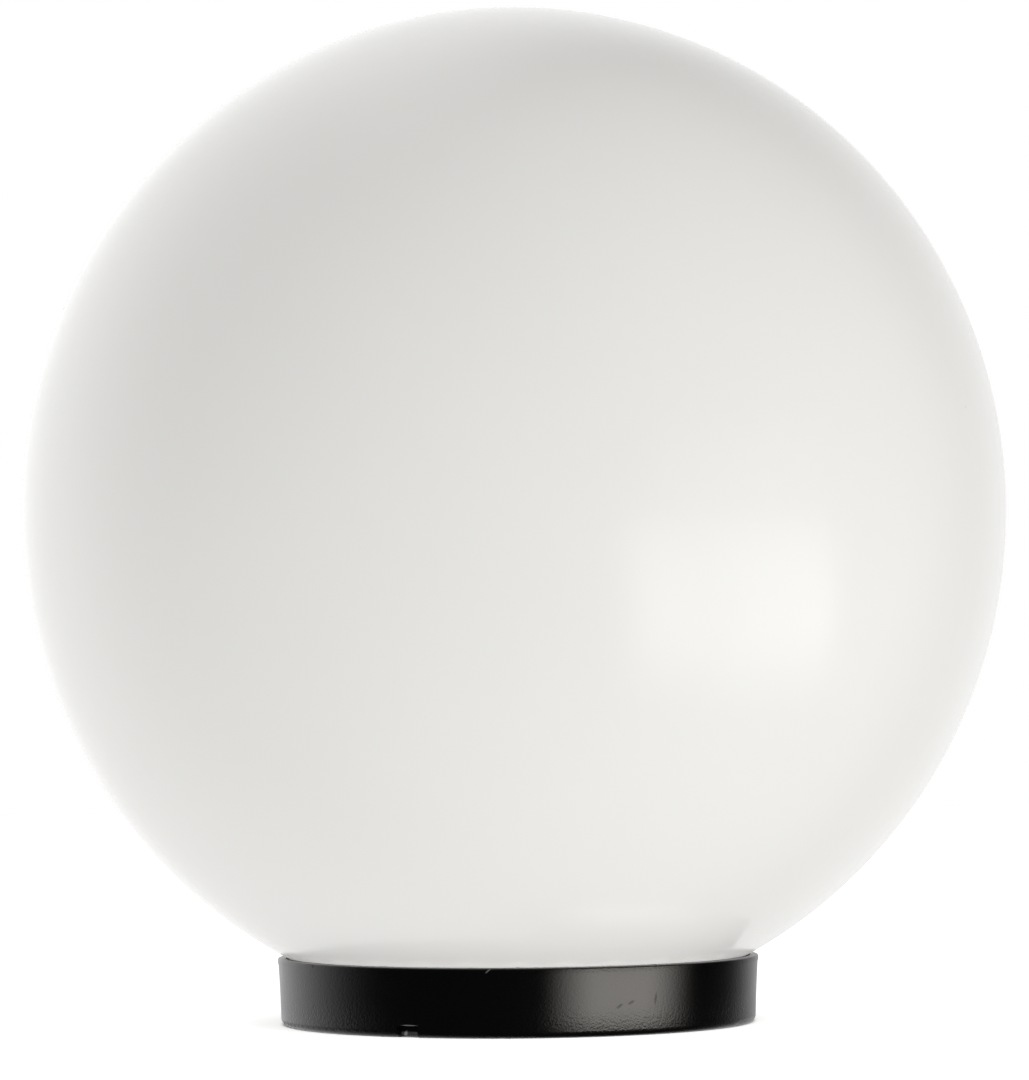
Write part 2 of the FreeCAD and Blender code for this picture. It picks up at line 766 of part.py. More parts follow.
def make_lock_tab():
    """The sliding tab behind the notch: its tooth stands in the way of a lug once it is pushed in."""
    body = new_body("lock_tab", turn="lock_angle")
    side = outline(
        new_sketch(body, "side", "XZ_Plane"),
        [
            ("tab_tail", "tab_top - tab_plate"),
            ("nose_tip - nose_length", "tab_top - tab_plate"),
            ("nose_tip - nose_length", "tab_foot_gap"),
            ("nose_tip - 2 * blade_slot - nose_chamfer", "tab_foot_gap"),
            ("nose_tip - 2 * blade_slot - nose_chamfer", "tab_foot_gap + blade_slot / 2"),
            ("nose_tip - blade_slot - nose_chamfer", "tab_foot_gap + blade_slot / 2"),
            ("nose_tip - blade_slot - nose_chamfer", "tab_foot_gap"),
            ("nose_tip - nose_chamfer", "tab_foot_gap"),
            ("nose_tip", "tab_foot_gap + nose_chamfer"),
            ("nose_tip", "tab_top"),
            ("tooth_outer", "tab_top"),
            ("tooth_outer", "tooth_top"),
            ("tooth_inner", "tooth_top"),
            ("tooth_inner", "tab_top"),
            ("tab_tail", "tab_top"),
        ],
    )
    pad(body, side, "tab", "tab_width", both_ways=True)
    return body


def make_cable_grommet():
    """The rubber grommet in the centre of the floor, with a snout for the supply cable."""
    body = new_body("cable_grommet")
    section = outline(
        new_sketch(body, "section", "XZ_Plane"),
        [
            ("cable_radius", "notch_height - grommet_lip"),
            ("entry_radius + grommet_flange", "notch_height - grommet_lip"),
            ("entry_radius + grommet_flange", "notch_height"),
            ("entry_radius", "notch_height"),
            ("entry_radius", "floor_top"),
            ("entry_radius + grommet_flange", "floor_top"),
            ("entry_radius + grommet_flange - grommet_bevel", "floor_top + grommet_lip"),
            ("cable_radius + 2 * snout_wall", "floor_top + grommet_lip"),
            ("cable_radius + snout_wall", "floor_top + grommet_lip + snout_height"),
            ("cable_radius", "floor_top + grommet_lip + snout_height"),
        ],
    )
    revolve(body, section, "ring")
    return body


def make_lampholder_bracket():
    """The bent steel bridge over the cable entry."""
    body = new_body("lampholder_bracket")
    foot_end = "bracket_span / 2 + bracket_foot / 2"
    knee = "bracket_leg - bracket_slope"
    right = [
        (foot_end, "bracket_seat"),
        (foot_end, "foot_screw_seat"),
        ("bracket_leg + bracket_thickness", "foot_screw_seat"),
        (knee + " + bracket_thickness", "holder_seat"),
    ]
    inside = [
        (knee, "bracket_top"),
        ("bracket_leg", "bracket_seat"),
    ]

    def mirrored(corners):
        return [("-(%s)" % x, y) for x, y in reversed(corners)]

    side = new_sketch(body, "side", "XZ_Plane")
    outline(side, right + mirrored(right) + mirrored(inside) + inside)
    strip = pad(body, side, "strip", "bracket_width", both_ways=True)
    doc.recompute()
    folds = []
    for name in straight_edges(strip, number("bracket_width"), Vector(0, 1, 0)):
        middle = strip.Shape.getElement(name).CenterOfMass
        if abs(middle.x) < number(foot_end) - number("bracket_bend"):
            folds.append(name)
    round_off(body, strip, "folds", folds, "bracket_bend")
    plan = new_sketch(body, "hole_plan", "XY_Plane", z="bracket_top - overrun")
    circle(plan, "bracket_opening")
    for y in ("holder_screw_spacing / 2", "-holder_screw_spacing / 2"):
        circle(plan, "screw_bore", "0", y)
    pocket(body, plan, "top_holes", "bracket_thickness + 2 * overrun")
    feet = new_sketch(body, "foot_hole_plan", "XY_Plane", z="bracket_seat - overrun")
    for x, y in both_sides("bracket_span / 2", "0"):
        circle(feet, "screw_bore", x, y)
    circle(feet, "screw_bore", "earth_x", "tag_offset")
    pocket(body, feet, "foot_holes", "bracket_thickness + 2 * overrun")
    return body


def make_lampholder_body():
    """The moulded lampholder: a round body with a well for the shell and two terminal pockets."""
    body = new_body("lampholder_body", z="holder_seat")
    section = outline(
        new_sketch(body, "section", "XZ_Plane"),
        [
            ("0", "0"),
            ("holder_radius", "0"),
            ("holder_radius", "holder_shoulder"),
            ("holder_mouth_radius", "holder_shoulder + holder_mouth_radius - holder_radius"),
            ("holder_mouth_radius", "holder_height"),
            ("holder_bore", "holder_height"),
            ("holder_bore", "well_floor"),
            ("0", "well_floor"),
        ],
    )
    turned = revolve(body, section, "turned")
    doc.recompute()
    mouth = edges_at(turned, number("holder_mouth_radius"), number("holder_height"))
    round_off(body, turned, "mouth_edge", mouth, "mouth_rounding")
    pockets = new_sketch(body, "pocket_plan", "XY_Plane", z="pocket_floor")
    slits = new_sketch(body, "slit_plan", "XY_Plane", z="pocket_floor")
    tappings = new_sketch(body, "tapping_plan", "XY_Plane", z="pocket_floor")
    for x, y in both_sides("pocket_offset", "contact_screw_y"):
        rectangle(
            pockets,
            "%s - pocket_width / 2" % x,
            "%s + pocket_width / 2" % x,
            "pocket_depth",
            "holder_radius + overrun",
        )
        rectangle(
            slits,
            "%s - contact_width / 2 - shell_gap" % x,
            "%s + contact_width / 2 + shell_gap" % x,
            "pocket_depth - shell_gap",
            "pocket_depth + contact_thickness + shell_gap",
        )
        circle(tappings, "screw_bore", x, y)
    pocket(body, pockets, "terminal_pockets", "pocket_height")
    pocket(body, slits, "contact_slits", "well_floor - pocket_floor + overrun")
    pocket(body, tappings, "tappings", "contact_screw_length", upward=False)
    holes = new_sketch(body, "screw_plan", "XY_Plane")
    sinks = new_sketch(body, "sink_plan", "XY_Plane", z="sink_floor")
    for y in ("holder_screw_spacing / 2", "-holder_screw_spacing / 2"):
        circle(holes, "screw_bore", "0", y)
        circle(sinks, "screw_head_radius + sink_gap", "0", y)
    pocket(body, holes, "screw_holes", "well_floor + overrun")
    pocket(body, sinks, "screw_sinks", "well_floor - sink_floor + overrun")
    return body


def make_screw_shell():
    """The brass shell that the bulb's cap screws into, with its folded foot."""
    body = new_body("screw_shell", z="holder_seat + well_floor + shell_lift")
    section = outline(
        new_sketch(body, "section", "XZ_Plane"),
        [
            ("shell_eye_radius", "0"),
            ("shell_radius + shell_wall", "0"),
            ("shell_radius + shell_wall", "shell_height"),
            ("shell_radius", "shell_height"),
            ("shell_radius", "shell_wall"),
            ("shell_eye_radius", "shell_wall"),
        ],
    )
    revolve(body, section, "shell")
    return body


def make_contact(label, reach, rise, side):
    """A spring-brass strip: flat under its terminal screw, up through the slit, then in to the bulb."""
    body = new_body(label, z="holder_seat")
    x = "%s * pocket_offset" % side
    tail = new_sketch(body, "tail_plan", "XY_Plane", z="pocket_floor")
    rectangle(
        tail,
        "%s - contact_width / 2" % x,
        "%s + contact_width / 2" % x,
        "pocket_depth",
        "holder_radius - contact_setback",
    )
    circle(tail, "screw_bore", x, "contact_screw_y")
    pad(body, tail, "tail", "contact_thickness")
    stem = new_sketch(body, "stem_plan", "XY_Plane", z="pocket_floor")
    rectangle(
        stem,
        "%s - contact_width / 2" % x,
        "%s + contact_width / 2" % x,
        "pocket_depth",
        "pocket_depth + contact_thickness",
    )
    pad(body, stem, "stem", "well_floor - pocket_floor + contact_thickness")
    arm = new_sketch(body, "arm_plan", "XY_Plane", z="well_floor")
    corners = [
        ("%s - contact_width / 2" % x, "pocket_depth + contact_thickness"),
        ("%s - contact_width / 2" % x, "pocket_depth - contact_width / 2"),
        (reach[0], reach[1]),
        (reach[2], reach[3]),
        ("%s + contact_width / 2" % x, "pocket_depth - contact_width / 2"),
        ("%s + contact_width / 2" % x, "pocket_depth + contact_thickness"),
    ]
    outline(arm, corners)
    pad(body, arm, "arm", "contact_thickness")
    button = new_sketch(body, "button_plan", "XY_Plane", z="well_floor")
    circle(button, "0.4 * contact_width", rise[0], rise[1])
    pad(body, button, "button", rise[2])
    return body


def make_terminal_block():
    """A three-pole terminal strip with a tunnel for each insert and wells for its screws."""
    body = new_body("terminal_block", y="block_offset", z="block_foot")
    plan = new_sketch(body, "plan", "XY_Plane")
    rectangle(plan, "-block_width / 2", "block_width / 2", "-block_length / 2", "block_length / 2")
    pad(body, plan, "strip", "block_height")
    grooves = new_sketch(body, "groove_plan", "XY_Plane", z="block_height - block_groove_depth")
    holes = new_sketch(body, "hole_plan", "XY_Plane")
    sinks = new_sketch(body, "sink_plan", "XY_Plane", z="block_sink")
    for x, y in both_sides("block_pitch / 2", "0"):
        rectangle(
            grooves,
            "%s - block_groove / 2" % x,
            "%s + block_groove / 2" % x,
            "-block_length / 2 - overrun",
            "block_length / 2 + overrun",
        )
        circle(holes, "screw_bore", x, y)
        circle(sinks, "small_head_radius + sink_gap", x, y)
    pocket(body, grooves, "grooves", "block_groove_depth + overrun")
    pocket(body, holes, "fixing_holes", "block_height")
    pocket(body, sinks, "sinks", "block_groove_depth + overrun")
    tunnels = new_sketch(body, "tunnel_plan", "XZ_Plane")
    for x in POLES:
        circle(tunnels, "insert_radius", x, "insert_height")
    pocket(body, tunnels, "tunnels", "block_length + 2 * overrun", both_ways=True)
    wells = new_sketch(body, "well_plan", "XY_Plane", z="insert_height")
    for x, y in terminal_screw_places():
        circle(wells, "terminal_screw_radius + terminal_well_gap", x, y)
    pocket(body, wells, "wells", "block_height")
    return body


def make_terminal_inserts():
    """The brass tubes of the terminal strip, one in each tunnel."""
    body = new_body("terminal_inserts", y="block_offset", z="insert_centre")
    plan = new_sketch(body, "plan", "XZ_Plane")
    for x in POLES:
        circle(plan, "insert_radius", x, "0")
        circle(plan, "insert_bore", x, "0")
    pad(body, plan, "tubes", "block_length - 2 * insert_setback", both_ways=True)
    tappings = new_sketch(body, "tapping_plan", "XY_Plane")
    for x, y in terminal_screw_places():
        circle(tappings, "terminal_screw_radius + screw_gap", x, y)
    pocket(body, tappings, "tappings", "insert_radius + overrun")
    return body


def make_terminal_screws():
    """The grub screws that clamp the conductors in the inserts."""
    body = new_body("terminal_screws", y="block_offset", z="insert_centre")
    plan = new_sketch(body, "plan", "XY_Plane", z="insert_bore")
    for x, y in terminal_screw_places():
        circle(plan, "terminal_screw_radius", x, y)
    pad(body, plan, "grubs", "block_height - insert_height - insert_bore - terminal_screw_depth")
    return body


def make_cord_clamp():
    """The bar across its two bosses that grips the supply cable, hollowed over the cable."""
    body = new_body("cord_clamp", y="clamp_offset", z="clamp_seat")
    half = "clamp_spacing / 2 + clamp_boss_radius"
    front = outline(
        new_sketch(body, "front", "XZ_Plane"),
        [
            ("-(%s)" % half, "0"),
            ("-cable_radius", "0", "hollow", "clamp_arc"),
            ("cable_radius", "0"),
            (half, "0"),
            (half, "clamp_thickness"),
            ("-(%s)" % half, "clamp_thickness"),
        ],
    )
    pad(body, front, "bar", "clamp_width", both_ways=True)
    holes = new_sketch(body, "hole_plan", "XY_Plane")
    for x, y in both_sides("clamp_spacing / 2", "0"):
        circle(holes, "screw_bore", x, y)
    pocket(body, holes, "holes", "clamp_thickness + overrun")
    return body


def make_earth_tag():
    """The crimped tag under the earth screw on the bracket's foot."""
    body = new_body("earth_tag", x="earth_x", y="tag_offset", z="foot_screw_seat")
    plan = new_sketch(body, "plan", "XY_Plane")
    circle(plan, "tag_radius")
    circle(plan, "screw_bore")
    pad(body, plan, "eye", "tag_thickness")
    tongue = new_sketch(body, "tongue_plan", "XY_Plane")
    rectangle(
        tongue,
        "-tag_barrel_radius",
        "tag_barrel_radius",
        "(tag_radius + screw_bore) / 2",
        "tag_radius + tag_barrel_length / 2",
    )
    pad(body, tongue, "tongue", "tag_thickness")
    barrel = new_sketch(body, "barrel_plan", "XZ_Plane", z="-(tag_radius + tag_barrel_length)")
    circle(barrel, "tag_barrel_radius", "0", "tag_barrel_radius")
    circle(barrel, "lead_radius + screw_gap", "0", "tag_barrel_radius")
    pad(body, barrel, "barrel", "tag_barrel_length")
    return body


def make_bulb_diffuser():
    """The bulb's opal dome, open at its waist."""
    body = new_body("bulb_diffuser", z="bulb_seat + bulb_waist")
    section = outline(
        new_sketch(body, "section", "XZ_Plane"),
        [
            ("bulb_neck_radius - bulb_wall", "0"),
            ("bulb_neck_radius", "0", "round", "dome_flank"),
            ("bulb_radius", "dome_foot", "round", "bulb_radius"),
            ("0", "dome_foot + bulb_radius"),
            ("0", "dome_foot + bulb_radius - bulb_wall", "hollow", "bulb_radius - bulb_wall"),
            ("bulb_radius - bulb_wall", "dome_foot", "hollow", "dome_flank"),
        ],
    )
    revolve(body, section, "dome")
    return body


def make_bulb_housing():
    """The bulb's white body between cap and dome, a cup that flares up to the waist."""
    body = new_body("bulb_housing", z="bulb_seat")
    section = outline(
        new_sketch(body, "section", "XZ_Plane"),
        [
            ("0", "bulb_collar"),
            ("cap_radius + collar_step", "bulb_collar"),
            ("cap_radius + collar_step", "bulb_collar + collar_height", "hollow", "bulb_flare"),
            ("bulb_neck_radius", "bulb_waist"),
            ("bulb_neck_radius - bulb_wall", "bulb_waist"),
            ("bulb_neck_radius - bulb_wall", "board_seat"),
            ("0", "board_seat"),
        ],
    )
    revolve(body, section, "cup")
    return body


def make_led_board():
    """The aluminium board that the light-emitting chips are soldered to."""
    body = new_body("led_board", z="bulb_seat + board_seat")
    plan = new_sketch(body, "plan", "XY_Plane")
    circle(plan, "bulb_neck_radius - bulb_wall - board_gap")
    pad(body, plan, "disc", "board_thickness")
    return body


def make_led_chips():
    """The ring of chips on the board."""
    body = new_body("led_chips", z="bulb_seat + bulb_waist")
    plan = new_sketch(body, "plan", "XY_Plane")
    rectangle(
        plan,
        "chip_circle / 2 - chip_side / 2",
        "chip_circle / 2 + chip_side / 2",
        "-chip_side / 2",
        "chip_side / 2",
    )
    chip = pad(body, plan, "chip", "chip_height")
    around(body, "ring", [chip], "chip_count")
    return body


def make_bulb_cap():
    """The bulb's screw cap, a thin shell from the insulator up to the housing."""
    body = new_body("bulb_cap", z="bulb_seat")
    section = outline(
        new_sketch(body, "section", "XZ_Plane"),
        [
            ("insulator_radius", "cap_foot"),
            ("cap_radius", "cap_foot + cap_radius - insulator_radius"),
            ("cap_radius", "bulb_collar"),
            ("cap_radius - cap_wall", "bulb_collar"),
            ("cap_radius - cap_wall", "cap_foot + cap_radius - insulator_radius"),
            ("insulator_radius - cap_wall", "cap_foot"),
        ],
    )
    revolve(body, section, "shell")
    return body


def make_cap_insulator():
    """The black glass foot between the cap's shell and its tip contact."""
    body = new_body("cap_insulator", z="bulb_seat")
    section = outline(
        new_sketch(body, "section", "XZ_Plane"),
        [
            ("0", "tip_height"),
            ("tip_radius + insulator_land", "tip_height"),
            ("insulator_radius - cap_wall", "cap_foot"),
            ("insulator_radius - cap_wall", "cap_foot + insulator_rim"),
            ("0", "cap_foot + insulator_rim"),
        ],
    )
    revolve(body, section, "foot")
    return body


def make_tip_contact():
    """The round contact at the bulb's very end."""
    body = new_body("tip_contact", z="bulb_seat")
    section = outline(
        new_sketch(body, "section", "XZ_Plane"),
        [
            ("0", "0"),
            ("0.5 * tip_radius", "0"),
            ("tip_radius", "tip_height - tip_edge"),
            ("tip_radius", "tip_height"),
            ("0", "tip_height"),
        ],
    )
    revolve(body, section, "tip")
    return body


def tube(label, points, radius):
    """A lead along straight runs joined by tangent arcs, as large as the runs allow."""
    edges = []
    share = 0.45
    here = points[0]
    for before, corner, after in zip(points, points[1:], points[2:]):
        back = (before - corner).normalize()
        on = (after - corner).normalize()
        reach = share * min((before - corner).Length, (after - corner).Length)
        start, end = corner + back * reach, corner + on * reach
        half_turn = (math.pi - back.getAngle(on)) / 2
        bend = reach / math.tan(half_turn)
        middle_way = (back + on).normalize()
        middle = corner + middle_way * (bend / math.cos(half_turn) - bend)
        edges.append(Part.makeLine(here, start))
        edges.append(Part.Arc(start, middle, end).toShape())
        here = end
    edges.append(Part.makeLine(here, points[-1]))
    path = Part.Wire(edges)
    section = Part.Wire([Part.makeCircle(radius, points[0], (points[1] - points[0]).normalize())])
    lead = doc.addObject("Part::Feature", label)
    lead.Label = label
    lead.Shape = path.makePipeShell([section], True, False)
    lead.Placement = FreeCAD.Placement()
    share_of_length = lead.Shape.Volume / (math.pi * radius**2 * path.Length)
    print("%s: %.0f mm long, volume %.3f of its section's" % (label, path.Length, share_of_length))
    return lead


def make_leads():
    """The two leads up to the lampholder and the earth lead to the bracket's foot."""
    radius = number("lead_radius")
    behind = number("block_end")
    gripped = number("block_end - insert_setback - lead_grip")
    level = number("insert_centre")
    entry_level = number("holder_seat + contact_seat + lead_radius + lead_gap")
    entry_end = number("contact_screw_y + small_head_radius + lead_gap")
    made = []
    for label, pole_name, pocket_name in (
        ("live_lead", POLES[0], "-pocket_offset"),
        ("neutral_lead", POLES[1], "pocket_offset"),
    ):
        pole, across = number(pole_name), number("%s - (%s)" % (pocket_name, pole_name))
        points = [Vector(pole, gripped, level)]
        for back, rise, share in HOLDER_ROUTE:
            points.append(Vector(pole + share * across, behind + back, level + rise))
        points.append(Vector(pole + across, entry_end + HOLDER_RUN, entry_level))
        points.append(Vector(pole + across, entry_end, entry_level))
        made.append(tube(label, points, radius))
    pole = number(POLES[2])
    tag_end, tag_level = number("tag_end"), number("foot_screw_seat + tag_barrel_radius")
    points = [Vector(pole, gripped, level)]
    for right, back, rise in EARTH_ROUTE:
        points.append(Vector(pole + right, behind + back, level + rise))
    points.append(Vector(number("earth_x"), tag_end + EARTH_RUN, tag_level))
    points.append(Vector(number("earth_x"), tag_end - number("lead_grip"), tag_level))
    made.append(tube("earth_lead", points, radius))
    return made


def make_all():
    """Every sub-part of the light."""
    parts = [
        make_globe(),
        make_bayonet_lugs(),
        make_neck_seal(),
        make_base_housing(),
        make_lock_tab(),
        make_cable_grommet(),
        make_lampholder_bracket(),
        screws("bracket_screws", both_sides("bracket_span / 2", "0", "foot_screw_seat"), "screw_length"),
        make_lampholder_body(),
        make_screw_shell(),
        make_contact(
            "centre_contact",
            ("-contact_width / 2", "0", "contact_width / 2", "0"),
            ("0", "0", "contact_rise"),
            "-1",
        ),
        make_contact(
            "shell_contact",
            ("shell_eye_radius", "pocket_depth / 4", "shell_radius - shell_wall", "pocket_depth / 4"),
            ("shell_eye_radius + contact_width / 4", "pocket_depth / 3", "shell_lift"),
            "1",
        ),
        screws(
            "contact_screws",
            both_sides("pocket_offset", "contact_screw_y", "holder_seat + contact_seat"),
            "contact_screw_length",
            "small_head_radius",
        ),
        screws(
            "lampholder_screws",
            [
                ("0", "holder_screw_spacing / 2", "holder_seat + sink_floor"),
                ("0", "-holder_screw_spacing / 2", "holder_seat + sink_floor"),
            ],
            "sink_floor + bracket_thickness + thread_end",
        ),
        make_terminal_block(),
        make_terminal_inserts(),
        make_terminal_screws(),
        screws(
            "block_screws",
            both_sides("block_pitch / 2", "block_offset", "block_foot + block_sink"),
            "block_sink + block_foot - notch_height",
            "small_head_radius",
        ),
        make_cord_clamp(),
        screws(
            "clamp_screws",
            both_sides("clamp_spacing / 2", "clamp_offset", "clamp_seat + clamp_thickness"),
            "screw_length + clamp_thickness / 2",
        ),
        make_earth_tag(),
        screws(
            "earth_screw",
            [("earth_x", "tag_offset", "foot_screw_seat + tag_thickness")],
            "tag_thickness + bracket_thickness + thread_end",
        ),
        make_bulb_diffuser(),
        make_bulb_housing(),
        make_led_board(),
        make_led_chips(),
        make_bulb_cap(),
        make_cap_insulator(),
        make_tip_contact(),
    ]
    return parts + make_leads()


def export(parts):
    """Checks every object and every sub-part's shape, then writes one file for each sub-part."""
    doc.recompute()
    failed = [item.Label for item in doc.Objects if {"Invalid", "Error"} & set(item.State)]
    for part in parts:
        if part.Shape.isNull() or not part.Shape.isValid() or part.Shape.Volume <= 0:
            failed.append(part.Label)
    if failed:
        raise RuntimeError("These did not build: " + ", ".join(failed))
    os.makedirs("parts", exist_ok=True)
    for part in parts:
        part.Shape.exportStep("parts/%s.step" % part.Label)
        print("%-22s %d solid(s) %12.1f mm3" % (part.Label, len(part.Shape.Solids), part.Shape.Volume))


fill_sheets()
export(make_all())
print("The globe turns %.2f degrees between entry and lock." % number("twist_angle"))
print("The neck's lugs enter at %.2f degrees." % number("entry_angle"))
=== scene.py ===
"""Garden globe light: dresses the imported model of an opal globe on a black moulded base.

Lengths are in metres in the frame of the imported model. +Z is up, the light stands on z = 0 and
faces -Y. Each operator makes one group of pieces, and the last one sets the studio around them.
"""

import json
import math

import bmesh
import bpy
from mathutils import Matrix, Vector


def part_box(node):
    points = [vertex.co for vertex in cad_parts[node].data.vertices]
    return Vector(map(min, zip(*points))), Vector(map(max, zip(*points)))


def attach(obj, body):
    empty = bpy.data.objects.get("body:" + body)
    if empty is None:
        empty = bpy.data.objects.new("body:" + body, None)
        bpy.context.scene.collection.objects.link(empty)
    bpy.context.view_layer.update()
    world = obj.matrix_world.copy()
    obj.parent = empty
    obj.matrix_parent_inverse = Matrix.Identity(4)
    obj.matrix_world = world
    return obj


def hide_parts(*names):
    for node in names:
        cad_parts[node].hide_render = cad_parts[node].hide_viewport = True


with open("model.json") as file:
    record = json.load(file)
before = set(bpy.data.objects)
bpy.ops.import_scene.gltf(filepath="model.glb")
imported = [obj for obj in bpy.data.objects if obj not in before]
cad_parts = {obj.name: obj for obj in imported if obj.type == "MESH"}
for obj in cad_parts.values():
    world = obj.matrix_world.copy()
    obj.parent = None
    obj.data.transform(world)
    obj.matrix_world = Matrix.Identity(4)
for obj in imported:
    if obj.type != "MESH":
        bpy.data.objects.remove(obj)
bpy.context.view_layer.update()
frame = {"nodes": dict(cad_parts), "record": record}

bl_info = {
    "name": "Garden Globe Light",
    "version": (1, 0, 0),
    "blender": (4, 5, 0),
    "location": "3D View > Sidebar > Globe Light",
    "description": "Builds an opal garden globe light on its black base, and its studio",
    "category": "Add Mesh",
}

MM = 0.001
WHITE = (1.0, 1.0, 1.0, 1.0)


def linear(hex_colour):
    """The linear colour, with alpha, of an sRGB hex value such as '1A2B3C'."""
    channels = [int(hex_colour[i:i + 2], 16) / 255 for i in (0, 2, 4)]
    return tuple(c / 12.92 if c <= 0.04045 else ((c + 0.055) / 1.055) ** 2.4 for c in channels) + (1.0,)


def per(size_mm):
    """The texture scale that repeats once in that many millimetres, on object coordinates."""
    return 1000.0 / size_mm


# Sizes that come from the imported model

GLOBE_LOW, GLOBE_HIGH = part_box("globe")
GLOBE_RADIUS = (GLOBE_HIGH.x - GLOBE_LOW.x) / 2
HOUSING_LOW, HOUSING_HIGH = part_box("base_housing")
HOUSING_RADIUS = (HOUSING_HIGH.x - HOUSING_LOW.x) / 2
SHELL_LOW, SHELL_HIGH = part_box("screw_shell")
CAP_LOW, CAP_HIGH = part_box("bulb_cap")


class GlobeSettings(bpy.types.PropertyGroup):
    """Sizes and colour of the opal globe."""

    half_height: bpy.props.FloatProperty(
        name="Half Height",
        description="From the globe's centre to its top",
        default=128.0 * MM,
        unit="LENGTH",
    )
    wall: bpy.props.FloatProperty(
        name="Wall",
        description="Thickness of the blown acrylic",
        default=2.8 * MM,
        unit="LENGTH",
    )
    neck_radius: bpy.props.FloatProperty(
        name="Neck Radius",
        description="Outside radius of the neck",
        default=52 * MM,
        unit="LENGTH",
    )
    mouth_rounding: bpy.props.FloatProperty(
        name="Mouth Rounding",
        description="Round of the neck's cut edge",
        default=0.7 * MM,
        unit="LENGTH",
    )
    colour: bpy.props.FloatVectorProperty(
        name="Acrylic",
        description="Colour of the opal acrylic",
        size=4,
        subtype="COLOR",
        default=linear("EFEEEB"),
    )


class BaseSettings(bpy.types.PropertyGroup):
    """Colours of the moulded base and what is fixed to it."""

    colour: bpy.props.FloatVectorProperty(
        name="Moulding",
        description="Colour of the black base moulding",
        size=4,
        subtype="COLOR",
        default=linear("030303"),
    )
    rubber: bpy.props.FloatVectorProperty(
        name="Rubber",
        description="Colour of the seal and the grommet",
        size=4,
        subtype="COLOR",
        default=linear("171717"),
    )


class LampSettings(bpy.types.PropertyGroup):
    """Sizes and colours of the lampholder and the bulb."""

    thread_pitch: bpy.props.FloatProperty(
        name="Thread Pitch",
        description="Rise of the bulb's screw thread in one turn",
        default=3.629 * MM,
        unit="LENGTH",
    )
    thread_depth: bpy.props.FloatProperty(
        name="Thread Depth",
        description="From the rolled thread's crest to its root",
        default=0.8 * MM,
        unit="LENGTH",
    )
    shell_wall: bpy.props.FloatProperty(
        name="Shell Wall",
        description="Thickness of the lampholder's screw shell",
        default=0.5 * MM,
        unit="LENGTH",
    )
    cap_wall: bpy.props.FloatProperty(
        name="Cap Wall",
        description="Thickness of the bulb's screw cap",
        default=0.3 * MM,
        unit="LENGTH",
    )
    shell_eye: bpy.props.FloatProperty(
        name="Shell Eye",
        description="Radius of the opening in the screw shell's foot",
        default=10.0 * MM,
        unit="LENGTH",
    )
    cap_foot: bpy.props.FloatProperty(
        name="Cap Foot",
        description="Radius of the cap where it holds the insulator",
        default=11.0 * MM,
        unit="LENGTH",
    )
    holder: bpy.props.FloatVectorProperty(
        name="Lampholder",
        description="Colour of the lampholder's moulding",
        size=4,
        subtype="COLOR",
        default=linear("E4E1D8"),
    )
    diffuser: bpy.props.FloatVectorProperty(
        name="Bulb Dome",
        description="Colour of the bulb's opal dome",
        size=4,
        subtype="COLOR",
        default=linear("F1F0EC"),
    )


class StudioSettings(bpy.types.PropertyGroup):
    """The camera's place and the strength of the studio's lights."""

    distance: bpy.props.FloatProperty(
        name="Distance",
        description="From the light's axis to the camera",
        default=0.942,
        unit="LENGTH",
    )
    height: bpy.props.FloatProperty(
        name="Height",
        description="Height of the camera over the floor",
        default=0.0655,
        unit="LENGTH",
    )
    tilt: bpy.props.FloatProperty(
        name="Tilt",
        description="How far the camera looks up",
        default=math.radians(3.464),
        unit="ROTATION",
    )
    roll: bpy.props.FloatProperty(
        name="Roll",
        description="How far the camera leans to its right",
        default=math.radians(0.487),
        unit="ROTATION",
    )
    lens: bpy.props.FloatProperty(
        name="Lens", description="Focal length in mm on a 36 mm sensor", default=122.8
    )
    key: bpy.props.FloatProperty(
        name="Softbox",
        description="Power of the softbox at the right",
        default=3.5,
        unit="POWER",
    )
    fill: bpy.props.FloatProperty(
        name="Fill", description="Strength of the even light from the room", default=0.67
    )
    table: bpy.props.FloatProperty(
        name="Light Table", description="Strength of the light from the table", default=0.98
    )


SETTINGS = {
    "globe_light_globe": GlobeSettings,
    "globe_light_base": BaseSettings,
    "globe_light_lamp": LampSettings,
    "globe_light_studio": StudioSettings,
}


# Nodes and materials

def add(tree, kind, inputs=None, **settings):
    """Adds a node. Its inputs, by name or number, take a value or a link from a node or socket."""
    node = tree.nodes.new(kind)
    for name, value in settings.items():
        setattr(node, name, value)
    for name, value in (inputs or {}).items():
        by_name = (socket for socket in node.inputs if socket.enabled and socket.name == name)
        target = node.inputs[name] if isinstance(name, int) else next(by_name)
        if isinstance(value, bpy.types.Node):
            value = next(socket for socket in value.outputs if socket.enabled)
        if isinstance(value, bpy.types.NodeSocket):
            tree.links.new(value, target)
        else:
            target.default_value = value
    return node


def new_material(name):
    """An empty node material, and its tree."""
    material = bpy.data.materials.new(name)
    material.use_nodes = True
    material.node_tree.nodes.clear()
    return material, material.node_tree


def specks(tree, places, size):
    """1 on small round specks of that radius at the places, and 0 elsewhere."""
    where = add(tree, "ShaderNodeTexCoord").outputs["Object"]
    total = 0.0
    for spot in places:
        away = add(tree, "ShaderNodeVectorMath", {0: where, 1: spot}, operation="DISTANCE")
        inside = add(
            tree,
            "ShaderNodeMapRange",
            {"Value": away.outputs["Value"], "From Min": size, "From Max": size / 2},
        )
        total = add(tree, "ShaderNodeMath", {0: total, 1: inside}, operation="ADD")
    return total


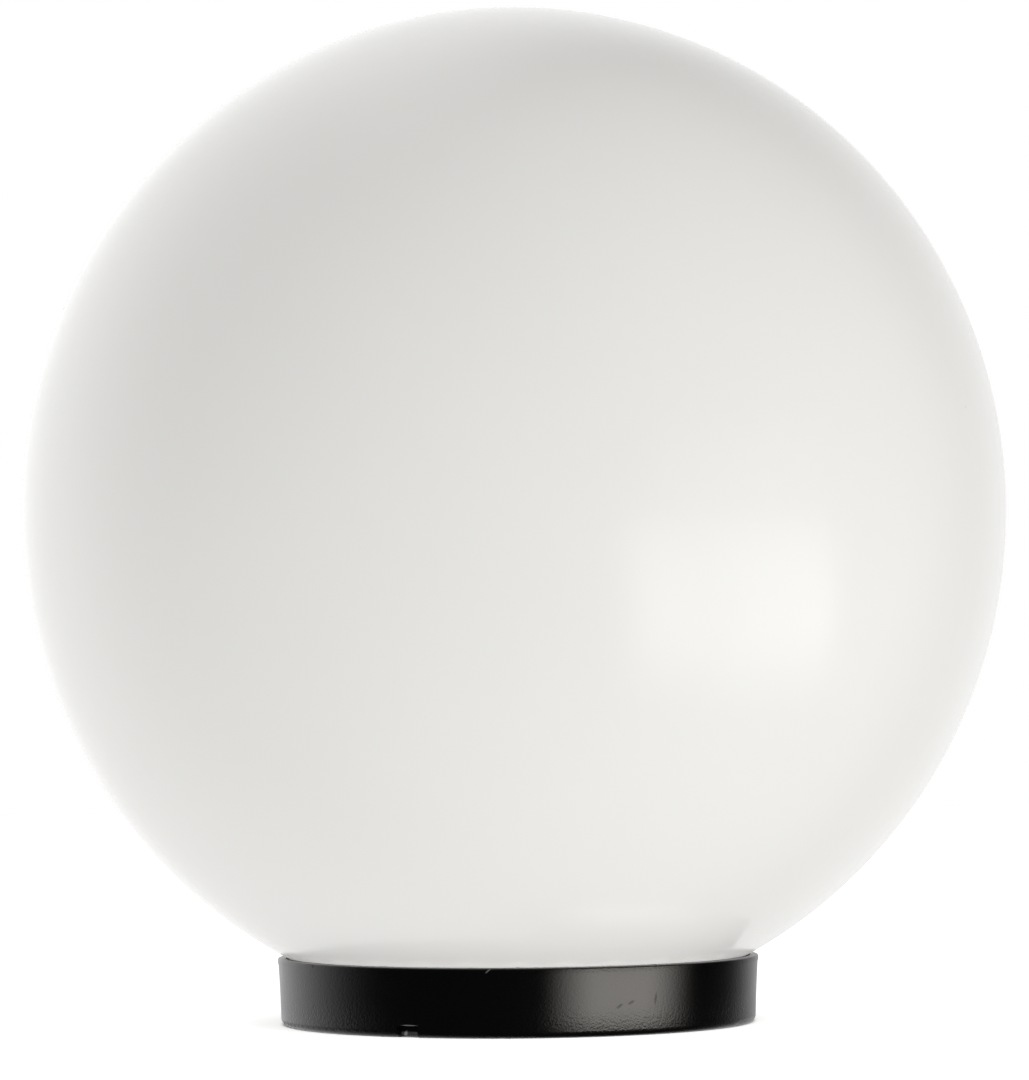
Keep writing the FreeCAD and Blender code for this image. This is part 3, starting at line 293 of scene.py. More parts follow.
def scuffs(tree, radius, marks):
    """1 on short marks on a round side of that radius, and 0 elsewhere.

    A mark is its angle from the front, its height, its lean from level, its length and its width.
    """
    where = add(tree, "ShaderNodeSeparateXYZ", {0: add(tree, "ShaderNodeTexCoord").outputs["Object"]})
    front = add(tree, "ShaderNodeMath", {0: where.outputs["Y"], 1: -1.0}, operation="MULTIPLY")
    angle = add(tree, "ShaderNodeMath", {0: where.outputs["X"], 1: front}, operation="ARCTAN2")
    along = add(tree, "ShaderNodeMath", {0: angle, 1: radius}, operation="MULTIPLY")
    flat = add(tree, "ShaderNodeCombineXYZ", {"X": along, "Y": where.outputs["Z"]})
    total = 0.0
    for turn, height, lean, length, width in marks:
        laid = add(
            tree,
            "ShaderNodeMapping",
            {
                "Vector": flat,
                "Location": (math.radians(turn) * radius, height, 0),
                "Rotation": (0, 0, math.radians(lean)),
                "Scale": (length / 2, width / 2, 1),
            },
            vector_type="TEXTURE",
        )
        away = add(tree, "ShaderNodeVectorMath", {0: laid}, operation="LENGTH")
        inside = add(
            tree,
            "ShaderNodeMapRange",
            {"Value": away.outputs["Value"], "From Min": 1.0, "From Max": 0.5},
        )
        total = add(tree, "ShaderNodeMath", {0: total, 1: inside}, operation="ADD")
    return total


# Dust on the globe: angle from the front and height over the middle. The places are on a round globe,
# and the real one is taller, so only specks that its surface passes through show.
DUST = [(37.0, 11.0), (62.0, 8.0), (-18.0, -32.0), (-42.0, 66.0)]
DUST_SIZE = 0.5 * MM

# Marks on the base's side: angle from the front, height, lean, length and width
RIM_DOT = [(-55.6, 16.2 * MM, 0.0, 1.1 * MM, 1.1 * MM)]
SCUFFS = [
    (23.6, 7.2 * MM, 35.0, 2.4 * MM, 0.9 * MM),
    (26.6, 8.0 * MM, 25.0, 2.4 * MM, 0.9 * MM),
    (33.1, 8.6 * MM, 82.0, 3.6 * MM, 0.9 * MM),
]
# A pale nick in the rim, then a painted highlight along the edge over the notch in the foot, and a
# painted glint on the tab behind it
NICK_AND_PAINTED_HIGHLIGHTS = [
    (-6.7, 16.2 * MM, 40.0, 2.2 * MM, 0.36 * MM),
    (-25.8, 2.96 * MM, 0.0, 5.0 * MM, 0.3 * MM),
    (-27.5, 0.8 * MM, 50.0, 2.5 * MM, 0.9 * MM),
]


def opal_acrylic(colour):
    """Blown opal acrylic: light scatters in the wall, so the colour is even, under a satin gloss."""
    material, tree = new_material("opal_acrylic_blown")
    where = add(tree, "ShaderNodeTexCoord").outputs["Object"]
    # The wall's thickness drifts a little over about 60 mm, which shades the white by a trace.
    drift = add(tree, "ShaderNodeTexNoise", {"Vector": where, "Scale": per(60)})
    shade = add(
        tree,
        "ShaderNodeMix",
        {"Factor": drift, "A": colour, "B": linear("ECEBE8")},
        data_type="RGBA",
    )
    middle = GLOBE_HIGH.z - GLOBE_RADIUS
    spots = []
    for turn, rise in DUST:
        out = GLOBE_RADIUS * math.cos(math.radians(rise))
        spots.append(
            (
                out * math.sin(math.radians(turn)),
                -out * math.cos(math.radians(turn)),
                middle + GLOBE_RADIUS * math.sin(math.radians(rise)),
            )
        )
    dusty = add(
        tree,
        "ShaderNodeMix",
        {"Factor": specks(tree, spots, DUST_SIZE), "A": shade, "B": linear("A9A8A5")},
        data_type="RGBA",
    )
    # Blown acrylic has a faint orange peel, about 9 mm across, that softens what it mirrors.
    peel = add(tree, "ShaderNodeTexNoise", {"Vector": where, "Scale": per(9), "Detail": 1.0})
    wavy = add(tree, "ShaderNodeBump", {"Height": peel, "Distance": 0.01 * MM, "Strength": 0.4})
    gloss = add(tree, "ShaderNodeMapRange", {"Value": drift, "To Min": 0.16, "To Max": 0.2})
    shader = add(
        tree,
        "ShaderNodeBsdfPrincipled",
        {
            "Base Color": dusty,
            "Roughness": gloss,
            "IOR": 1.49,
            "Subsurface Weight": 0.25,
            "Subsurface Radius": (1.0, 0.98, 0.94),
            "Subsurface Scale": 0.003,
            "Normal": wavy,
        },
    )
    add(tree, "ShaderNodeOutputMaterial", {"Surface": shader})
    return material


def black_moulding(colour):
    """Black moulded plastic: the mould's eroded grain spreads its highlights into a dull sheen, and a
    painted highlight and a painted glint sit by the notch.
    """
    material, tree = new_material("black_plastic_moulded")
    where = add(tree, "ShaderNodeTexCoord").outputs["Object"]
    # The eroded grain is about 0.2 mm, drawn at 0.6 mm so that it shows. It is deeper by the foot.
    grain = add(
        tree,
        "ShaderNodeTexNoise",
        {"Vector": where, "Scale": per(0.6), "Detail": 2.0, "Roughness": 0.6},
    )
    height = add(tree, "ShaderNodeSeparateXYZ", {0: where})
    depth = add(
        tree,
        "ShaderNodeMapRange",
        {
            "Value": height.outputs["Z"],
            "From Min": 9 * MM,
            "From Max": 4 * MM,
            "To Min": 0.45,
            "To Max": 1.0,
        },
    )
    # Handling leaves a haze, about 14 mm across, that dulls the gloss in patches.
    haze = add(tree, "ShaderNodeTexNoise", {"Vector": where, "Scale": per(14), "Detail": 3.0})
    dull = add(tree, "ShaderNodeMapRange", {"Value": haze, "To Min": 0.24, "To Max": 0.34})
    scuffed = add(
        tree,
        "ShaderNodeMix",
        {"Factor": scuffs(tree, HOUSING_RADIUS, SCUFFS + RIM_DOT), "A": dull, "B": 0.6},
    )
    # Pale colour paints the nick in the rim, a painted highlight on the notch's edge and a painted glint
    # on the tab.
    nick_and_painted_highlights = add(
        tree,
        "ShaderNodeMix",
        {"Factor": scuffs(tree, HOUSING_RADIUS, NICK_AND_PAINTED_HIGHLIGHTS), "A": colour, "B": linear("6A6A68")},
        data_type="RGBA",
    )
    rough = add(tree, "ShaderNodeBump", {"Height": grain, "Distance": 0.12 * MM, "Strength": depth})
    shader = add(
        tree,
        "ShaderNodeBsdfPrincipled",
        {"Base Color": nick_and_painted_highlights, "Roughness": scuffed, "IOR": 1.5, "Normal": rough},
    )
    add(tree, "ShaderNodeOutputMaterial", {"Surface": shader})
    return material


def moulded(name, colour, second, roughness, ior, grain_mm, depth_mm, scatter=0.0):
    """A moulded plastic or rubber: a fine mould grain, and a slight drift of colour and gloss."""
    material, tree = new_material(name)
    where = add(tree, "ShaderNodeTexCoord").outputs["Object"]
    # The drift of a moulding's tone is about 8 mm across.
    drift = add(tree, "ShaderNodeTexNoise", {"Vector": where, "Scale": per(8), "Detail": 3.0})
    shade = add(
        tree, "ShaderNodeMix", {"Factor": drift, "A": colour, "B": second}, data_type="RGBA"
    )
    gloss = add(
        tree,
        "ShaderNodeMapRange",
        {"Value": drift, "To Min": roughness - 0.06, "To Max": roughness + 0.08},
    )
    grain = add(tree, "ShaderNodeTexNoise", {"Vector": where, "Scale": per(grain_mm), "Detail": 2.0})
    fine = add(tree, "ShaderNodeBump", {"Height": grain, "Distance": depth_mm * MM, "Strength": 0.5})
    shader = add(
        tree,
        "ShaderNodeBsdfPrincipled",
        {
            "Base Color": shade,
            "Roughness": gloss,
            "IOR": ior,
            "Subsurface Weight": scatter,
            "Subsurface Scale": 0.0015,
            "Normal": fine,
        },
    )
    add(tree, "ShaderNodeOutputMaterial", {"Surface": shader})
    return material


def metal(name, colour, second, roughness, grain_mm, depth_mm, drawn=(1.0, 1.0, 1.0)):
    """A plated or bare metal: a drift of tone, and fine marks that can be drawn out along an axis."""
    material, tree = new_material(name)
    where = add(tree, "ShaderNodeTexCoord").outputs["Object"]
    along = add(tree, "ShaderNodeMapping", {"Vector": where, "Scale": drawn})
    marks = add(
        tree,
        "ShaderNodeTexNoise",
        {"Vector": along, "Scale": per(grain_mm), "Detail": 3.0, "Roughness": 0.6},
    )
    # Plating clouds over a few millimetres.
    cloud = add(tree, "ShaderNodeTexNoise", {"Vector": where, "Scale": per(5), "Detail": 3.0})
    shade = add(
        tree, "ShaderNodeMix", {"Factor": cloud, "A": colour, "B": second}, data_type="RGBA"
    )
    gloss = add(
        tree,
        "ShaderNodeMapRange",
        {"Value": marks, "To Min": roughness - 0.08, "To Max": roughness + 0.1},
    )
    fine = add(tree, "ShaderNodeBump", {"Height": marks, "Distance": depth_mm * MM, "Strength": 0.5})
    shader = add(
        tree,
        "ShaderNodeBsdfPrincipled",
        {"Base Color": shade, "Metallic": 1.0, "Roughness": gloss, "Normal": fine},
    )
    add(tree, "ShaderNodeOutputMaterial", {"Surface": shader})
    return material


def striped_sleeve():
    """The earth lead's extruded sleeve: green, with a yellow stripe along its upper side."""
    material, tree = new_material("sleeve_green_yellow")
    facing = add(
        tree, "ShaderNodeSeparateXYZ", {0: add(tree, "ShaderNodeTexCoord").outputs["Normal"]}
    )
    stripe = add(
        tree,
        "ShaderNodeMapRange",
        {"Value": facing.outputs["Y"], "From Min": 0.1, "From Max": 0.2},
    )
    shade = add(
        tree,
        "ShaderNodeMix",
        {"Factor": stripe, "A": linear("3E8A3C"), "B": linear("E3C62F")},
        data_type="RGBA",
    )
    shader = add(
        tree, "ShaderNodeBsdfPrincipled", {"Base Color": shade, "Roughness": 0.4, "IOR": 1.53}
    )
    add(tree, "ShaderNodeOutputMaterial", {"Surface": shader})
    return material


# The maker of each of the record's slots. After the two colours, moulded takes the roughness, the IOR,
# the grain's size and depth in mm and the share of light that scatters. metal takes the roughness, the
# marks' size and depth in mm and how far they are drawn out.
FINISHES = {
    "opal_acrylic": lambda scene: opal_acrylic(scene.globe_light_globe.colour),
    "black_moulding": lambda scene: black_moulding(scene.globe_light_base.colour),
    # Moulded rubber is dull, with a grain of about 0.5 mm.
    "black_rubber": lambda scene: moulded(
        "rubber_moulded", scene.globe_light_base.rubber, linear("1F1F1F"), 0.62, 1.5, 0.5, 0.01
    ),
    # Zinc plating is bluish white, with the sheet's rolling lines under it.
    "zinc_plated_steel": lambda scene: metal(
        "steel_zinc_plated", linear("C8CACC"), linear("AEB3B4"), 0.3, 0.5, 0.004, (1.0, 0.15, 1.0)
    ),
    # Pressed urea is a hard creamy white with a smooth gloss.
    "white_thermoset": lambda scene: moulded(
        "urea_pressed", scene.globe_light_lamp.holder, linear("D9D5C9"), 0.3, 1.55, 0.6, 0.004, 0.05
    ),
    # Nickel is a warm grey, with the drawing marks of the press up its height.
    "nickel_plated_brass": lambda scene: metal(
        "brass_nickel_plated", linear("CFCAC0"), linear("B8B2A6"), 0.2, 0.6, 0.003, (1.0, 1.0, 0.3)
    ),
    # Rolled brass is left bare: a warm yellow with a soft sheen.
    "brass": lambda scene: metal("brass_rolled", linear("D9B35C"), linear("BD9442"), 0.27, 0.5, 0.003),
    # Natural nylon is milky, so light goes a little way into it.
    "natural_nylon": lambda scene: moulded(
        "nylon_moulded", linear("E6E2D4"), linear("DCD7C6"), 0.42, 1.53, 0.5, 0.006, 0.3
    ),
    # The bulb's dome is frosted polycarbonate, which spreads its highlight wide.
    "opal_polycarbonate": lambda scene: moulded(
        "polycarbonate_frosted",
        scene.globe_light_lamp.diffuser,
        linear("EAE9E4"),
        0.48,
        1.58,
        0.4,
        0.006,
        0.3,
    ),
    # Moulded polyester is a cool white with a half gloss.
    "white_moulding": lambda scene: moulded(
        "polyester_moulded", linear("EEEEEC"), linear("E2E2DF"), 0.33, 1.52, 0.5, 0.005, 0.05
    ),
    # Rolled aluminium sheet is a pale grey, streaked along the roll.
    "board_aluminium": lambda scene: metal(
        "aluminium_sheet", linear("D6D7D8"), linear("C2C6C9"), 0.36, 0.4, 0.003, (0.2, 1.0, 1.0)
    ),
    # Silicone filled with yellow phosphor covers each chip.
    "yellow_phosphor": lambda scene: moulded(
        "phosphor_silicone", linear("E9C93A"), linear("DDB52B"), 0.4, 1.41, 0.2, 0.004, 0.2
    ),
    # Vitrite is a black glass, pressed smooth.
    "black_ceramic": lambda scene: moulded(
        "vitrite_pressed", linear("101012"), linear("18181B"), 0.16, 1.52, 1.2, 0.004
    ),
    # The sleeves are extruded vinyl, even in colour, with a half gloss.
    "brown_sleeve": lambda scene: moulded(
        "sleeve_brown", linear("5A3320"), linear("4E2B1A"), 0.4, 1.53, 0.8, 0.004
    ),
    "blue_sleeve": lambda scene: moulded(
        "sleeve_blue", linear("2A62A8"), linear("235695"), 0.4, 1.53, 0.8, 0.004
    ),
    "green_sleeve": lambda scene: striped_sleeve(),
}

MADE = {}


def finish_of(slot_name):
    """The material of one of the record's slots, made when it is first asked for."""
    if slot_name not in MADE:
        MADE[slot_name] = FINISHES[slot_name](bpy.context.scene)
    return MADE[slot_name]


def slot_of(node):
    """The record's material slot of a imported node."""
    for row in frame["record"]["subparts"]:
        if row["node"] == node:
            return row["material_slot"]
    raise RuntimeError("the record has no node named " + node)


def dress(*nodes):
    """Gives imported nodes, shown as they are, the material of their slot."""
    for name in nodes:
        piece = frame["nodes"][name]
        piece.data.materials.clear()
        piece.data.materials.append(finish_of(slot_of(name)))


# Meshes

def new_piece(name, form, body, replaced):
    """A shown piece made of that bmesh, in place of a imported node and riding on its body."""
    bmesh.ops.recalc_face_normals(form, faces=form.faces)
    data = bpy.data.meshes.new(name)
    form.to_mesh(data)
    form.free()
    data.shade_smooth()
    data.set_sharp_from_angle(angle=math.radians(40))
    piece = bpy.data.objects.new(name, data)
    bpy.context.scene.collection.objects.link(piece)
    slot_name = slot_of(replaced)
    data.materials.append(finish_of(slot_name))
    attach(piece, body)
    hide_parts(replaced)
    return piece


def revolved(profile, steps):
    """A closed bmesh of revolution about the upright axis, from a ring of points (radius, height).

    A point on the axis makes one vertex.
    """
    form = bmesh.new()
    rings = []
    for radius, height in profile:
        count = 1 if radius < 1e-7 else steps
        turns = [2 * math.pi * i / steps for i in range(count)]
        rings.append(
            [form.verts.new((radius * math.cos(t), radius * math.sin(t), height)) for t in turns]
        )
    for low, high in zip(rings, rings[1:] + rings[:1]):
        for i in range(steps):
            j = (i + 1) % steps
            corners = [low[i % len(low)], low[j % len(low)], high[j % len(high)], high[i % len(high)]]
            around = list(dict.fromkeys(corners))
            if len(around) > 2:
                form.faces.new(around)
    return form


def ellipse_run(centre, wide, tall, first, last, steps):
    """Points (radius, height) on an upright ellipse, from angle first to last over the horizontal."""
    found = []
    for i in range(steps + 1):
        t = first + (last - first) * i / steps
        found.append((max(0.0, wide * math.cos(t)), centre + tall * math.sin(t)))
    return found


def globe_form(settings):
    """The blown shell with its neck and the rounded edge of its mouth."""
    wide = GLOBE_RADIUS
    tall, wall, neck, edge = (
        settings.half_height,
        settings.wall,
        settings.neck_radius,
        settings.mouth_rounding,
    )
    centre, foot = GLOBE_HIGH.z - tall, GLOBE_LOW.z
    along, around = 128, 192
    outside = ellipse_run(centre, wide, tall, -math.acos(neck / wide), math.pi / 2, along)
    inner_neck = -math.acos((neck - wall) / (wide - wall))
    inside = ellipse_run(centre, wide - wall, tall - wall, math.pi / 2, inner_neck, along)
    outside[-1] = (0.0, centre + tall)
    inside[0] = (0.0, centre + tall - wall)
    turns = [math.pi / 2 * i / 4 for i in range(5)]
    lip = [
        (neck - wall + edge - edge * math.cos(t), foot + edge - edge * math.sin(t)) for t in turns
    ]
    lip += [(neck - edge + edge * math.sin(t), foot + edge - edge * math.cos(t)) for t in turns]
    return revolved(lip + outside + inside, around)


def thread_form(foot, starts, top, crest, depth, wall, pitch):
    """A tube with a rolled right-hand thread, whose crests reach the radius crest, on a turned-in foot.

    The foot is the ends (radius, height) of its outer and inner skin, and starts are the heights at
    which the thread begins on each. The bulb's cap and the shell it turns in follow one helix, so
    they nest at any turn.
    """
    form = bmesh.new()
    count, rows_per_turn, fade = 96, 16, pitch / 2
    turns = [2 * math.pi * i / count for i in range(count)]
    skins = []
    for (reach, low), start, inset in zip(foot, starts, (0.0, wall)):
        rings = [[form.verts.new((reach * math.cos(t), reach * math.sin(t), low)) for t in turns]]
        rises = round((top - start) / pitch * rows_per_turn)
        for k in range(rises + 1):
            z = start + (top - start) * k / rises
            amount = min(1.0, (z - start) / fade, (top - z) / fade)
            ring = []
            for t in turns:
                wave = 0.5 + 0.5 * math.cos(2 * math.pi * z / pitch - t)
                r = crest - inset - depth * (1 - wave * amount)
                ring.append(form.verts.new((r * math.cos(t), r * math.sin(t), z)))
            rings.append(ring)
        skins.append(rings)
    outside, inside = skins
    loops = outside + inside[::-1]
    for lower, upper in zip(loops, loops[1:] + loops[:1]):
        for i in range(count):
            j = (i + 1) % count
            form.faces.new((lower[i], lower[j], upper[j], upper[i]))
    return form


class GLOBELIGHT_OT_globe(bpy.types.Operator):
    """Make the opal globe with its neck and lugs"""

    bl_idname = "globe_light.globe"
    bl_label = "Globe"

    def execute(self, context):
        new_piece("opal_globe", globe_form(context.scene.globe_light_globe), "globe", "globe")
        dress("bayonet_lugs")
        return {"FINISHED"}


class GLOBELIGHT_OT_base(bpy.types.Operator):
    """Finish the moulded base, its seal, grommet and lock tab"""

    bl_idname = "globe_light.base"
    bl_label = "Base"

    def execute(self, context):
        dress("base_housing", "lock_tab", "neck_seal", "cable_grommet")
        return {"FINISHED"}


class GLOBELIGHT_OT_lampholder(bpy.types.Operator):
    """Finish the lampholder on its steel bridge, and roll the thread of its shell"""

    bl_idname = "globe_light.lampholder"
    bl_label = "Lampholder"

    def execute(self, context):
        settings = context.scene.globe_light_lamp
        dress(
            "lampholder_bracket",
            "bracket_screws",
            "lampholder_body",
            "centre_contact",
            "shell_contact",
            "contact_screws",
            "lampholder_screws",
        )
        low, wall, eye = SHELL_LOW.z, settings.shell_wall, settings.shell_eye
        shell = thread_form(
            [(eye, low), (eye, low + wall)],
            [low, low + wall],
            SHELL_HIGH.z,
            (SHELL_HIGH.x - SHELL_LOW.x) / 2,
            settings.thread_depth,
            wall,
            settings.thread_pitch,
        )
        new_piece("threaded_shell", shell, "base", "screw_shell")
        return {"FINISHED"}


class GLOBELIGHT_OT_wiring(bpy.types.Operator):
    """Finish the terminal block, the cord clamp, the earth tag and the leads"""

    bl_idname = "globe_light.wiring"
    bl_label = "Wiring"

    def execute(self, context):
        dress(
            "terminal_block",
            "terminal_inserts",
            "terminal_screws",
            "block_screws",
            "cord_clamp",
            "clamp_screws",
            "earth_tag",
            "earth_screw",
            "live_lead",
            "neutral_lead",
            "earth_lead",
        )
        return {"FINISHED"}


class GLOBELIGHT_OT_bulb(bpy.types.Operator):
    """Finish the bulb, and roll the thread of its cap"""

    bl_idname = "globe_light.bulb"
    bl_label = "Bulb"

    def execute(self, context):
        settings = context.scene.globe_light_lamp
        dress(
            "bulb_diffuser",
            "bulb_housing",
            "led_board",
            "led_chips",
            "cap_insulator",
            "tip_contact",
        )
        low, wall, ring = CAP_LOW.z, settings.cap_wall, settings.cap_foot
        crest = (CAP_HIGH.x - CAP_LOW.x) / 2
        cone_top = low + crest - ring
        cap = thread_form(
            [(ring, low), (ring - wall, low)],
            [cone_top, cone_top],
            CAP_HIGH.z,
            crest,
            settings.thread_depth,
            wall,
            settings.thread_pitch,
        )
        new_piece("threaded_cap", cap, "bulb", "bulb_cap")
        return {"FINISHED"}


# The studio: places in metres, and turns in degrees from the front toward the right

TABLE_HALF = 4.0
SOFTBOX_PLACE = Vector((0.95, -0.81, 0.2))
SOFTBOX_AIM = Vector((0, 0, 0.12))
SOFTBOX_WIDE, SOFTBOX_TALL = 0.9, 0.36
# The card that the globe mirrors, from its lower left corner round, and its strength
SOFTBOX_CARD = [
    (0.059, -0.181, 0.009),
    (0.197, -0.085, 0.009),
    (0.393, -0.185, 0.109),
    (0.118, -0.355, 0.1),
]
SOFTBOX_GLOSS = 1.65
# The upright screen beside the card: its turn, its ends from the middle and its height
SCREEN_TURN, SCREEN_NEAR, SCREEN_FAR, SCREEN_TOP = 75, 70 * MM, 0.5, 0.3
# The strip that the base mirrors, where it fades from dark to full, and the black case past it
STRIP_RADIUS, STRIP_FOOT, STRIP_TOP = 72 * MM, 0.2 * MM, 16.6 * MM
STRIP_TURNS = (5, 60)
STRIP_FADES = ((6, 22), (53, 35))
STRIP_GLOSS = 4.6
CASE_RADIUS, LID_RADIUS = 72.5 * MM, 62.5 * MM
CASE_TURNS = (4, 61)
# The ring of light on the rim: how far in from the side it starts and ends, and its height over it
RING_START, RING_END, RING_LIFT = 0.2 * MM, 2.5 * MM, 0.05 * MM
RING_GLOW = 0.95


def stage_mesh(name, corners, faces, material):
    """A piece of the studio, which isn't part of the light."""
    data = bpy.data.meshes.new(name)
    data.from_pydata([Vector(c) for c in corners], [], faces)
    data.materials.append(material)
    item = bpy.data.objects.new(name, data)
    bpy.context.scene.collection.objects.link(item)
    return item


def only_in_reflections(item):
    """A studio card that shows in gloss alone, and neither lights nor shades anything."""
    item.visible_camera = False
    item.visible_diffuse = False
    item.visible_shadow = False
    item.visible_transmission = False
    item.visible_volume_scatter = False


def curved_wall(radius, low, high, first, last):
    """Corners and faces of an upright wall round the light, from one angle to another off the front."""
    steps = 32
    corners = []
    for i in range(steps + 1):
        t = math.radians(first + (last - first) * i / steps)
        for z in (low, high):
            corners.append((radius * math.sin(t), -radius * math.cos(t), z))
    return corners, [(2 * i, 2 * i + 1, 2 * i + 3, 2 * i + 2) for i in range(steps)]


def curved_ring(first_radius, second_radius, height, first, last):
    """Corners and faces of a level strip between two radii, from one angle to another off the front."""
    one, _ = curved_wall(first_radius, height, height, first, last)
    other, _ = curved_wall(second_radius, height, height, first, last)
    corners = one[::2] + other[::2]
    count = len(corners) // 2
    return corners, [(i, i + 1, count + i + 1, count + i) for i in range(count - 1)]


def faded(tree, strength, *edges):
    """The strength, faded in at each edge, which is a value, where it is 0 and where it is full."""
    total = strength
    for value, dark, full in edges:
        share = add(
            tree,
            "ShaderNodeMapRange",
            {"Value": value, "From Min": dark, "From Max": full},
            interpolation_type="SMOOTHSTEP",
        )
        total = add(tree, "ShaderNodeMath", {0: total, 1: share}, operation="MULTIPLY")
    return total


def room_in_gloss(tree):
    """How bright the room mirrors: dark in front, white behind, and brightest high at the left."""
    way = add(tree, "ShaderNodeTexCoord").outputs["Generated"]
    side = add(tree, "ShaderNodeSeparateXYZ", {0: way})
    # The window behind, at the left, is brighter high up than near the table.
    window = add(
        tree,
        "ShaderNodeMapRange",
        {"Value": side.outputs["Z"], "From Min": -0.8, "From Max": 0.3, "To Min": 0.65, "To Max": 1.38},
        interpolation_type="SMOOTHSTEP",
    )
    right = faded(tree, 1.0, (side.outputs["X"], -0.3, 0.3))
    # From front to back the room goes from dark to full between two limits, other at the left and right.
    limits = {}
    for name, left_end, right_end in (
        ("From Min", -0.25, 0.48),
        ("From Max", 0.62, 1.0),
        ("To Max", window, 0.93),
    ):
        limits[name] = add(
            tree, "ShaderNodeMapRange", {"Value": right, "To Min": left_end, "To Max": right_end}
        )
    return add(
        tree,
        "ShaderNodeMapRange",
        {"Value": side.outputs["Y"], "To Min": 0.02, **limits},
        interpolation_type="SMOOTHSTEP",
    )


def seen_straight(tree):
    """1 for rays from the camera and through glass, and 0 for the rest."""
    rays = add(tree, "ShaderNodeLightPath")
    return add(
        tree,
        "ShaderNodeMath",
        {0: rays.outputs["Is Camera Ray"], 1: rays.outputs["Is Transmission Ray"]},
        operation="MAXIMUM",
    )


def table_top(glow):
    """A white light table: it lights the globe from below and keeps a soft shadow under the base."""
    material, tree = new_material("light_table_white")
    matt = add(tree, "ShaderNodeBsdfDiffuse", {"Color": linear("F1F1F0"), "Roughness": 0.5})
    # Close to what stands on it the table's glow goes, so the notch in the base stays dark.
    open_sky = add(tree, "ShaderNodeAmbientOcclusion", {"Distance": 1.5 * MM}, samples=8)
    bare = faded(tree, 0.55, (open_sky.outputs["AO"], 0.0, 0.8))
    white = add(tree, "ShaderNodeEmission", {"Color": WHITE, "Strength": bare})
    seen = add(tree, "ShaderNodeAddShader", {0: matt, 1: white})
    lit = add(tree, "ShaderNodeEmission", {"Color": WHITE, "Strength": glow})
    both = add(tree, "ShaderNodeMixShader", {0: seen_straight(tree), 1: lit, 2: seen})
    add(tree, "ShaderNodeOutputMaterial", {"Surface": both})
    return material


def softbox_front(strength):
    """The softbox's cloth: two lamps show through it, and it fades toward the table."""
    material, tree = new_material("softbox_cloth")
    where = add(tree, "ShaderNodeSeparateXYZ", {0: add(tree, "ShaderNodeTexCoord").outputs["UV"]})
    across, up = where.outputs["X"], where.outputs["Y"]
    between_lamps = add(tree, "ShaderNodeMath", {0: across, 1: 0.26}, operation="SUBTRACT")
    off_middle = add(tree, "ShaderNodeMath", {0: between_lamps}, operation="ABSOLUTE")
    lamps = add(
        tree,
        "ShaderNodeMapRange",
        {"Value": off_middle, "From Max": 0.13, "To Min": 0.8 * strength, "To Max": strength},
        interpolation_type="SMOOTHSTEP",
    )
    level = faded(
        tree, lamps, (up, -0.08, 0.3), (up, 1.6, 0.4), (across, -0.02, 0.09), (across, 1.0, 0.9)
    )
    glow = add(tree, "ShaderNodeEmission", {"Color": WHITE, "Strength": level})
    add(tree, "ShaderNodeOutputMaterial", {"Surface": glow})
    return material


def strip_front(strength):
    """The curved strip light's cloth: warm, and fading toward both of its ends."""
    material, tree = new_material("strip_light_cloth")
    where = add(tree, "ShaderNodeSeparateXYZ", {0: add(tree, "ShaderNodeTexCoord").outputs["Object"]})
    front = add(tree, "ShaderNodeMath", {0: where.outputs["Y"], 1: -1.0}, operation="MULTIPLY")
    turn = add(tree, "ShaderNodeMath", {0: where.outputs["X"], 1: front}, operation="ARCTAN2")
    edges = [(turn, math.radians(dark), math.radians(full)) for dark, full in STRIP_FADES]
    level = faded(tree, strength, *edges)
    glow = add(tree, "ShaderNodeEmission", {"Color": linear("FFFAF3"), "Strength": level})
    add(tree, "ShaderNodeOutputMaterial", {"Surface": glow})
    return material


def plain_glow(name, strength):
    """An even light, or black cloth where the strength is 0."""
    material, tree = new_material(name)
    glow = add(tree, "ShaderNodeEmission", {"Color": WHITE, "Strength": strength})
    add(tree, "ShaderNodeOutputMaterial", {"Surface": glow})
    return material


def one_way_black(name):
    """Black cloth where it is met from its front, and clear from its back."""
    material, tree = new_material(name)
    side = add(tree, "ShaderNodeNewGeometry").outputs["Backfacing"]
    black = add(tree, "ShaderNodeEmission", {"Color": WHITE, "Strength": 0.0})
    clear = add(tree, "ShaderNodeBsdfTransparent")
    screen = add(tree, "ShaderNodeMixShader", {0: side, 1: black, 2: clear})
    add(tree, "ShaderNodeOutputMaterial", {"Surface": screen})
    return material


